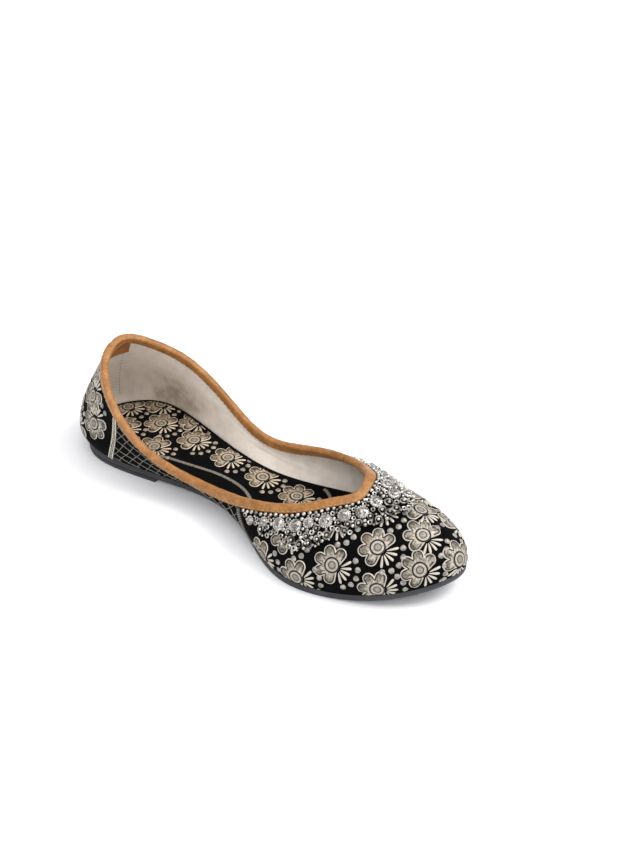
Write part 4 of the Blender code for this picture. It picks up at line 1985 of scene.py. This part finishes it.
@dataclass
class Net:
    """The gold net over one quarter: two families of fine cords that cross at right angles."""

    name: str
    panels: Panels
    row: float
    up: float
    slants: tuple[float, float]
    heading: tuple[float, float, float] = (1.0, 0.0, 0.0)
    pitch: float = 4.4 * MM
    cord: float = 0.44 * MM
    reach: float = 66 * MM

    def build(self) -> Object:
        """Walk each cord over the panel and sweep what lies on it.

        Returns:
            The net.
        """
        parts = Parts()
        section = tape_section(self.cord, -0.08 * MM, 0.06 * MM, 0.24 * MM, 0.5)
        steps = np.arange(-self.reach, self.reach, 1.3 * MM)
        lines = int(self.reach / self.pitch)
        for turn in self.slants:
            along = np.array([math.cos(math.radians(turn)), math.sin(math.radians(turn))])
            across = np.array([-along[1], along[0]])
            for k in range(-lines, lines + 1):
                sway = 0.3 * MM * np.sin(steps / (2.6 * MM) + 2.1 * k)
                offsets = steps[:, None] * along + (k * self.pitch + sway)[:, None] * across
                rows, ups = self.panels.skin.walk(self.row, self.up, self.heading, offsets)
                inside = self.panels.quarter(rows, ups) & (ups > 0) & (ups < 1)
                points, normals = self.panels.skin.at(rows, ups)
                for start, stop in runs_of(inside):
                    if stop - start >= 3:
                        parts.add(*sweep(points[start:stop], normals[start:stop], section))
        return parts.build(self.name, 60)


def runs_of(flags: Array) -> list[tuple[int, int]]:
    """Starts and ends of the stretches where flags hold."""
    edges = np.flatnonzero(np.diff(np.concatenate([[0], flags.astype(int), [0]])))
    return [(int(a), int(b)) for a, b in zip(edges[::2], edges[1::2])]


@dataclass
class InsoleArcs:
    """The embroidered lines that end the footbed's print, beside the arch and at the ball."""

    ground: Footbed
    long_arc: tuple[tuple[float, float], ...] = ((52, -16.5), (59, -12.7), (73, -9.7), (86, -6.7), (94, -5.2),
                                                 (104, -4.6), (112, -5.6), (119, -8.8), (125, -14))
    short_arc: tuple[tuple[float, float], ...] = ((142.8, 22.3), (145.5, 21.6), (148.7, 19.6), (152.8, 16.6))
    width: float = 1.9 * MM

    def build(self) -> Object:
        """Sweep both lines, with their corners cut three times.

        Returns:
            The lines.
        """
        parts = Parts()
        section = tape_section(self.width, -0.1 * MM, 0.1 * MM, 0.4 * MM, 0.6)
        for arc in (self.long_arc, self.short_arc):
            places = np.array(arc) * MM
            for _ in range(3):
                places = np.vstack([places[:1], *[np.stack([0.75 * a + 0.25 * b, 0.25 * a + 0.75 * b])
                                                  for a, b in zip(places, places[1:])], places[-1:]])
            points, normals = self.ground.at(places[:, 0] - self.ground.last.heel_centre, places[:, 1])
            parts.add(*sweep(points, normals, section))
        return parts.build("insole_arcs", 60)


# Round stones of the outer side: row, depth below the collar and width, the last two in millimetres
TRIM_STONES = ((6.21, 9.4, 4.6), (6.52, 9.0, 5.0), (6.84, 9.6, 7.0), (7.19, 10.6, 7.0), (7.48, 10.0, 5.6),
               (7.91, 10.8, 7.2), (8.49, 9.9, 7.0), (9.04, 10.7, 7.0), (9.62, 11.0, 6.6))


class BeadKind(Enum):
    """The trim's small silver shapes."""

    BALL = "a bead"
    RING = "a closed ring"
    LOOP = "a drop of coiled wire"


class Bead(NamedTuple):
    """One silver piece of the trim and where it is sewn, with its turn in degrees."""

    kind: BeadKind
    row: float
    depth: float
    size: float
    turn: float


class Tier(NamedTuple):
    """Beads of one size that are strewn where they fit.

    Width and least depth are in millimetres. Closeness is the share of two touching widths that they keep
    apart, and inset how far they keep inside the felt's lower edge.
    """

    kind: BeadKind
    width: float
    closeness: float
    tries: int
    least: float
    inset: float


TIERS = (Tier(BeadKind.LOOP, 4.4, 0.80, 1500, 12.5, 0.5), Tier(BeadKind.RING, 2.7, 0.86, 2400, 7.0, 0.0),
         Tier(BeadKind.BALL, 2.1, 0.86, 3500, 6.4, 0.3), Tier(BeadKind.BALL, 1.4, 0.9, 5000, 5.2, 0.3))


@dataclass
class BeadTrim:
    """The hand-sewn silver trim round the throat: a chain of balls, set stones, loops, rings and beads."""

    skin: Skin
    first_row: float = 6.06
    chain_depth: float = 5.3 * MM
    chain_pitch: float = 3.0 * MM
    heap: float = 5.2 * MM
    heap_row: float = 10.15
    heap_spread: float = 0.7
    heap_start: float = 4.6 * MM
    heap_length: float = 24 * MM
    lowest_bead: float = 29 * MM
    felt_lift: float = 0.5 * MM
    seed: int = 11

    def heap_lift(self, rows: Array, depth: Array) -> Array:
        """How far the heap at the throat stands up."""
        share = np.clip((depth - self.heap_start) / self.heap_length, 0, 1)
        return self.heap * np.exp(-((rows - self.heap_row) / self.heap_spread) ** 2) * np.sin(math.pi * share) ** 0.8

    def spot(self, row: float, depth: float, lift: float) -> tuple[Array, Array, Array]:
        """A spot of the trim.

        Args:
            row: its row.
            depth: its depth below the collar.
            lift: its height over the felt's ground.

        Returns:
            Place, normal and direction along the collar.
        """
        rows = np.array([row - 0.05, row, row + 0.05])
        ups = self.skin.up_at(rows, depth)
        heights = lift + self.heap_lift(rows, np.full(3, depth))
        points, normals = self.skin.at(rows, ups, heights)
        return points[1], normals[1], points[2] - points[0]

    def stones(self) -> list[tuple[float, float, float]]:
        """Row, depth and width of every stone, the inner side's being the outer's mirror, a little out."""
        outer = [(row, depth * MM, width * MM) for row, depth, width in TRIM_STONES]
        inner = [(ROUND - row + 0.02, depth, width) for row, depth, width in outer]
        return outer + inner + [(10.1, 16.5 * MM, 6.4 * MM), (10.45, 21.5 * MM, 6.0 * MM)]

    def backing(self) -> Object:
        """The black felt that the trim is sewn on, padded at the throat.

        Returns:
            The felt.
        """
        rows = np.linspace(self.first_row, ROUND - self.first_row, 220)
        levels = []
        for share in np.linspace(1, 0, 12):
            depth = 4.7 * MM + (trim_hem(rows) - 6.7 * MM) * share
            ups = self.skin.up_at(rows, depth)
            rim = self.felt_lift / 2 if share in (0, 1) else self.felt_lift
            levels.append(self.skin.at(rows, ups, rim + self.heap_lift(rows, depth))[0])
        obj = mesh_object("trim_backing", np.array(levels), grid_faces(12, 220))
        give_wall(obj, 0.3 * MM)
        return obj

    def layout(self) -> list[Bead]:
        """Where every bead goes, the chain first and then, tier by tier, what fits between.

        Returns:
            The beads.
        """
        rng = np.random.default_rng(self.seed)
        placed: list[Bead] = []
        centres = [self.spot(row, depth, 0)[0] for row, depth, _ in self.stones()]
        radii = [width / 2 for _, _, width in self.stones()]
        fine = np.linspace(self.first_row, ROUND - self.first_row, 900)
        run = run_along(self.skin.at(fine, self.skin.up_at(fine, self.chain_depth))[0])
        for k in range(int(run[-1] / self.chain_pitch) + 1):
            row = float(np.interp(k * self.chain_pitch, run, fine))
            placed.append(Bead(BeadKind.BALL, row, self.chain_depth + rng.uniform(-0.25, 0.25) * MM,
                               rng.uniform(1.9, 2.3) * MM, 0.0))
            centres.append(self.spot(row, self.chain_depth, 0)[0])
            radii.append(0.95 * MM)
        for tier in TIERS:
            for _ in range(tier.tries):
                row = rng.uniform(self.first_row + 0.03, ROUND - self.first_row - 0.03)
                deepest = float(trim_hem(np.array(row))) - tier.width * MM * (0.3 + tier.inset / 2)
                depth = rng.uniform(tier.least * MM, self.lowest_bead)
                turn, size = rng.uniform(-60, 60), tier.width * rng.uniform(0.9, 1.1) * MM
                if depth > deepest:
                    continue
                place = self.spot(row, depth, 0)[0]
                gaps = np.linalg.norm(np.array(centres) - place, axis=1)
                if np.all(gaps > tier.closeness * (np.array(radii) + size / 2)):
                    placed.append(Bead(tier.kind, row, depth, size, turn))
                    centres.append(place)
                    radii.append(size / 2)
        return placed

    def settings(self, ball: Stamp, ring: Stamp, loop: Stamp) -> Object:
        """Every silver piece of the trim.

        Args:
            ball: one bead.
            ring: one ring.
            loop: one drop.

        Returns:
            The silver pieces.
        """
        gathering = Gathering()
        for kind, row, depth, size, turn in self.layout():
            place, normal, along = self.spot(row, depth, 0.45 * MM)
            axes = upright_axes(normal, along)
            spin = Matrix.Rotation(math.radians(turn + (90 if kind is BeadKind.LOOP else 0)), 3, "Z")
            axes = np.array(spin) @ axes
            if kind is BeadKind.BALL:
                gathering.add(ball, place + normal * 0.3 * size, axes, (size, size, size * 0.9))
            elif kind is BeadKind.RING:
                gathering.add(ring, place + normal * 0.2 * size, axes, (size, size, size))
            else:
                gathering.add(loop, place + normal * 0.12 * size, axes, (size * 1.15, size * 0.95, size))
                gathering.add(ball, place + normal * 0.2 * size, axes, (size * 0.38,) * 3)
        for row, depth, width in self.stones():
            place, normal, along = self.spot(row, depth, self.felt_lift)
            axes = upright_axes(normal, along)
            grains = max(10, int(math.pi * width / (1.25 * MM)))
            for k in range(grains):
                turn = 2 * math.pi * k / grains
                out = axes[0] * math.cos(turn) + axes[1] * math.sin(turn)
                gathering.add(ball, place + out * width * 0.42 + normal * 0.75 * MM,
                              np.array([out, np.cross(normal, out), normal]), (1.15 * MM, 1.2 * MM, 1.3 * MM))
            gathering.add(ring, place + normal * 1.0 * MM, axes, (width * 0.8, width * 0.8, 2.6 * MM))
            gathering.add(ball, place, axes, (width * 0.85, width * 0.85, 1.6 * MM))
        return gathering.build("bead_settings", 60)

    def cut_stones(self, stone: Stamp) -> Object:
        """The stones in their settings.

        Args:
            stone: one stone.

        Returns:
            The stones.
        """
        gathering = Gathering()
        for row, depth, width in self.stones():
            place, normal, along = self.spot(row, depth, self.felt_lift)
            gathering.add(stone, place + normal * 1.0 * MM, upright_axes(normal, along),
                          (width * 0.62, width * 0.62, width * 0.3 + 0.9 * MM))
        return gathering.build("trim_stones", 10)


class Workshop:
    """Models the small shapes that are copied many times, each about one unit wide."""

    @staticmethod
    def ball() -> Stamp:
        """A bead, cut flat below where it is sewn down.

        Returns:
            The stamp.
        """
        deselect_all()
        bpy.ops.mesh.primitive_uv_sphere_add(segments=8, ring_count=6, radius=0.5)
        obj = bpy.context.object
        with edit_mode(obj):
            bpy.ops.mesh.select_all(action="SELECT")
            bpy.ops.mesh.bisect(plane_co=(0, 0, -0.33), plane_no=(0, 0, 1), clear_inner=True, use_fill=True)
        return Stamp.from_object(obj)

    @staticmethod
    def ring() -> Stamp:
        """A small closed ring.

        Returns:
            The stamp.
        """
        deselect_all()
        bpy.ops.mesh.primitive_torus_add(major_segments=10, minor_segments=5, major_radius=0.35,
                                         minor_radius=0.15)
        return Stamp.from_object(bpy.context.object)

    @staticmethod
    def loop() -> Stamp:
        """A ring of coiled wire pulled out to a drop.

        Returns:
            The stamp.
        """
        deselect_all()
        bpy.ops.mesh.primitive_torus_add(major_segments=12, minor_segments=4, major_radius=0.4,
                                         minor_radius=0.1)
        obj = bpy.context.object
        select_vertices(obj, lambda co: co.x > 0.22)
        with edit_mode(obj):
            bpy.ops.transform.resize(value=(1.35, 0.6, 1), center_override=(0.22, 0, 0))
        return Stamp.from_object(obj)

    @staticmethod
    def stone() -> Stamp:
        """A round stone with a flat table and two rows of facets.

        Returns:
            The stamp.
        """
        deselect_all()
        bpy.ops.mesh.primitive_cylinder_add(vertices=9, radius=0.5, depth=0.4, location=(0, 0, 0))
        obj = bpy.context.object
        select_vertices(obj, lambda co: co.z > 0.1)
        with edit_mode(obj):
            for rise in (0.18, 0.08):
                bpy.ops.mesh.inset(thickness=0.12)
                bpy.ops.transform.translate(value=(0, 0, rise))
                bpy.ops.transform.rotate(value=math.radians(20), orient_axis="Z", center_override=(0, 0, 0))
        return Stamp.from_object(obj)

    @staticmethod
    def stitch() -> Stamp:
        """One stitch, a plump grain whose ends go down into the hole.

        Returns:
            The stamp.
        """
        deselect_all()
        bpy.ops.mesh.primitive_uv_sphere_add(segments=8, ring_count=6, radius=0.5)
        obj = bpy.context.object
        select_vertices(obj, lambda co: abs(co.x) > 0.33)
        with edit_mode(obj):
            bpy.ops.transform.translate(value=(0, 0, -0.3))
        return Stamp.from_object(obj)

    @staticmethod
    def yarn() -> Stamp:
        """One turn of yarn, a plain grain."""
        deselect_all()
        bpy.ops.mesh.primitive_uv_sphere_add(segments=8, ring_count=5, radius=0.5)
        return Stamp.from_object(bpy.context.object)


# Creases of the upper: soft ones at the waist and over the vamp's corners, in rows, ups and millimetres
WAIST_CREASES = ((4.55, 0.55, 12, 2.4, 12, 0.40), (5.25, 0.45, 10, 2.0, -18, 0.30), (3.55, 0.62, 11, 2.6, 35, 0.30),
                 (15.4, 0.50, 12, 2.4, -10, 0.40), (14.8, 0.42, 10, 2.0, 15, 0.28), (16.5, 0.60, 11, 2.6, -30, 0.30),
                 (17.6, 0.50, 12, 3.2, 70, 0.35), (18.3, 0.45, 12, 3.0, 80, 0.30), (1.9, 0.35, 12, 3.2, -75, 0.30),
                 (6.9, 0.30, 11, 2.4, 25, 0.22), (13.2, 0.32, 11, 2.4, -25, 0.22), (10.3, 0.40, 13, 3.0, 5, 0.20))


def hand_creases() -> list[Crease]:
    """The creases at the waist and the small puckers where the cloth is drawn in round the toe.

    Returns:
        The creases.
    """
    creases = [Crease(row, up, length * MM, width * MM, slant, depth * MM)
               for row, up, length, width, slant, depth in WAIST_CREASES]
    for k, row in enumerate(np.arange(8.1, 12.0, 0.21)):
        creases.append(Crease(float(row), 0.03, (2.6 + 0.5 * (k % 3)) * MM, 0.9 * MM, 90, 0.16 * MM))
    return creases


@dataclass
class Studio:
    """Pale paper, soft light from behind on the right, and the camera."""

    azimuth: float = 39.3
    elevation: float = 35.1
    distance: float = 0.6895
    aim: tuple[float, float, float] = (0.0905, 0.0, 0.020)
    aside: float = 0.0276
    above: float = 0.0240
    picture: tuple[int, int] = (640, 853)
    pixels_per_unit: float = 1340.3
    sensor: float = 36.0

    def axes(self) -> tuple[Vector, Vector, Vector]:
        """Right, up and backward directions of the camera.

        Returns:
            The three directions.
        """
        a, e = math.radians(self.azimuth), math.radians(self.elevation)
        right = Vector((math.cos(a), math.sin(a), 0))
        up = Vector((-math.sin(a) * math.sin(e), math.cos(a) * math.sin(e), math.cos(e)))
        back = Vector((math.sin(a) * math.cos(e), -math.cos(a) * math.cos(e), math.sin(e)))
        return right, up, back

    def camera(self) -> None:
        """Stand the camera at the viewing angle."""
        right, up, back = self.axes()
        data = bpy.data.cameras.new("camera")
        data.sensor_width = self.sensor
        data.sensor_fit = "AUTO"
        data.lens = self.pixels_per_unit * self.sensor / max(self.picture)
        data.clip_start, data.clip_end = 0.01, 20
        obj = bpy.data.objects.new("camera", data)
        place = Vector(self.aim) + back * self.distance + right * self.aside + up * self.above
        turn = Matrix((right, up, back)).transposed()
        obj.matrix_world = Matrix.Translation(place) @ turn.to_4x4()
        bpy.context.scene.collection.objects.link(obj)
        bpy.context.scene.camera = obj

    def floor(self) -> Object:
        """Lay the paper a hair under the sole.

        Returns:
            The paper.
        """
        deselect_all()
        bpy.ops.mesh.primitive_plane_add(size=12, location=(0, 0, -0.05 * MM))
        obj = bpy.context.object
        obj.name = "background_paper"
        bpy.ops.object.transform_apply(location=True, rotation=True, scale=True)
        obj.data.materials.append(WhitePaper().make())
        return obj

    def light(self, name: str, place: tuple[float, float, float], size: float, power: float) -> None:
        """Hang one square lamp that looks at the shoe.

        Args:
            name: its name.
            place: where it hangs.
            size: its side.
            power: its power in watts.
        """
        data = bpy.data.lights.new(name, "AREA")
        data.size, data.energy = size, power
        obj = bpy.data.objects.new(name, data)
        obj.location = place
        obj.rotation_euler = (Vector((0.09, 0, 0.02)) - Vector(place)).to_track_quat("-Z", "Y").to_euler()
        bpy.context.scene.collection.objects.link(obj)

    def build(self) -> None:
        """Set up the camera, the paper, the lamps and a pale world."""
        self.camera()
        self.floor()
        self.light("key", (0.85, 0.65, 1.25), 0.9, 19)
        self.light("top", (0.15, -0.1, 1.5), 1.4, 8)
        self.light("front", (0.7, -1.2, 0.9), 1.2, 7)
        world = bpy.data.worlds.new("studio")
        world.use_nodes = True
        background = world.node_tree.nodes["Background"]
        background.inputs["Color"].default_value = srgb("#F4F5F8")
        background.inputs["Strength"].default_value = 0.86
        scene = bpy.context.scene
        scene.world = world
        scene.view_settings.view_transform = "Standard"


# Where the print's flowers stand: on the vamp in rows and ups, on the footbed in millimetres from the heel
VAMP_OUTER = ((7.71, 0.37), (8.84, 0.517), (9.78, 0.483), (9.25, 0.223), (8.37, 0.09), (9.97, 0.144),
              (6.18, 0.11), (6.98, 0.105), (9.62, 0.80), (6.97, 0.638), (8.10, 0.793))
VAMP_INNER = ((10.47, 0.594), (10.82, 0.308), (11.38, 0.57), (11.68, 0.09), (12.43, 0.33), (13.2, 0.15),
              (12.9, 0.62), (13.6, 0.58))
FOOTBED_FLOWERS = ((11, 8.5), (37, 8.5), (62.3, 8.5), (87.4, 8.5), (112.1, 8.5), (135.6, 8.5), (23.6, 22),
                   (50.8, 22), (24, -7), (49.6, -9.5), (7, -21), (36, -21))
PRINT_SLANT = math.radians(-11)


# The flowers round the heel stand in columns, every other one half a repeat lower, in millimetres
COUNTER_APART, COUNTER_START = 14, 2.5
COUNTER_HEIGHTS = ((12.4, 37.4), (25, 50))


def counter_spots(skin: Skin) -> list[tuple[float, float]]:
    """Spots of the flowers round the heel.

    Args:
        skin: the upper's face.

    Returns:
        Rows and ups.
    """
    spots = []
    for column in range(-3, 4):
        for height in COUNTER_HEIGHTS[column % 2]:
            spot = skin.spot_at((column * COUNTER_APART + COUNTER_START) * MM, height * MM)
            if spot is not None:
                spots.append(spot)
    return spots


def main() -> None:
    """Build the shoe and its studio in order."""
    logging.basicConfig(level=logging.INFO, format="%(message)s")
    last = Last()
    skin = Skin(last, hand_creases())
    panels = Panels(skin)
    velvet, canvas, leather = BlackVelvet().make(), WovenCanvas().make(), SoftLeather().make()
    rubber, foil, silver = MouldedRubber().make(), FoilPrint().make(), SilverPlate().make()
    thread, stone_finish = TwistedThread().make(), CutStone().make()
    tab_leather = SoftLeather("brown_split_leather", dark="#7C4C22", middle="#9A6334", light="#B17A45",
                              pore=0.6 * MM, roughness=0.6).make()
    yarn_finish = MetallicYarn().make()
    silver_yarn = MetallicYarn("tarnished_silver_yarn", dark="#4C4942", light="#9A968B", roughness=0.42).make()
    net_finish = MetallicYarn("grey_gold_net_cord", dark="#302D29", light="#8D877A", turn=0.6 * MM, roughness=0.45,
                              metallic=0.3, black_ground=False).make()

    upper = Upper(skin)
    dress(upper.velvet(), Slot.VELVET, velvet, "upper")
    dress(upper.lining(), Slot.CANVAS, canvas)
    stitch, yarn = Workshop.stitch(), Workshop.yarn()
    dress(upper.seam(stitch), Slot.THREAD, TwistedThread("grey_cotton_thread", "#7A7166", "#A59C8E").make())

    slab = SoleSlab(last, skin)
    bottom = Bottom(last, slab)
    dress(bottom.outsole(), Slot.RUBBER, rubber, "outsole")
    dress(bottom.heel_lift(), Slot.RUBBER, rubber, "heel_lift")
    dress(bottom.footbed(), Slot.VELVET, velvet, "insole")

    along_print = (math.cos(PRINT_SLANT), math.sin(PRINT_SLANT), 0.0)
    for name, spots in (("vamp_flowers_outer", VAMP_OUTER), ("vamp_flowers_inner", VAMP_INNER)):
        dress(FlowerField(name, skin, spots, along_print, panels.vamp).build(), Slot.FOIL, foil)
    dress(FlowerField("counter_flowers", skin, counter_spots(skin), (0, 0, 1), panels.counter).build(),
          Slot.FOIL, foil)
    ground = Footbed(last)
    edge_outer, edge_inner = slab.outline(-(last.wall + 2.8 * MM))

    def on_footbed(xs: Array, ys: Array) -> Array:
        """Whether places lie on the footbed's top.

        Args:
            xs: places along.
            ys: places across.

        Returns:
            Yes or no for each place.
        """
        along = xs + last.heel_centre
        low = np.interp(along, edge_outer[:, 0], edge_outer[:, 1])
        high = np.interp(along, edge_inner[:, 0], edge_inner[:, 1])
        return (ys > low) & (ys < high) & (along > edge_outer[0, 0])

    footbed_spots = [(x * MM - last.heel_centre, y * MM) for x, y in FOOTBED_FLOWERS]
    worn_foil = FoilPrint("rubbed_champagne_foil", body_dark="#40331F", body_light="#8B7A63", rim="#BFB09A",
                          puff_dark="#70655A", puff_light="#AC9E8B").make()
    dress(FlowerField("insole_flowers", ground, footbed_spots, along_print, on_footbed).build(), Slot.FOIL, worn_foil)
    dress(InsoleArcs(ground).build(), Slot.BRAID, net_finish)

    binding = Binding(skin)
    dress(binding.build(), Slot.LEATHER, leather, "collar_binding")
    dress(binding.stitches(stitch), Slot.THREAD, thread)
    dress(HeelTab(skin).build(), Slot.TAB, tab_leather, "heel_tab")

    for side, sign in (("outer", 1), ("inner", -1)):
        heel = Braid(f"heel_braid_{side}", f"braid_heel_{side}", skin, sign * panels.heel_top,
                     sign * panels.heel_foot, BraidStyle.PLAITED)
        dress(heel.build(yarn), Slot.BRAID, yarn_finish, heel.node)
        vamp = Braid(f"vamp_braid_{side}", f"braid_vamp_{side}", skin, sign * panels.vamp_top,
                     sign * panels.vamp_foot, BraidStyle.RIBBED)
        dress(vamp.build(yarn), Slot.BRAID, silver_yarn, vamp.node)
        net = Net(f"net_{side}", panels, row=sign * 4.2, up=0.5, slants=(-24 * sign, 46 * sign))
        dress(net.build(), Slot.BRAID, net_finish)

    trim = BeadTrim(skin)
    dress(trim.backing(), Slot.VELVET, velvet, "bead_trim")
    dress(trim.settings(Workshop.ball(), Workshop.ring(), Workshop.loop()), Slot.SILVER, silver)
    dress(trim.cut_stones(Workshop.stone()), Slot.STONE, stone_finish)

    Studio().build()


if __name__ == "__main__":
    main()
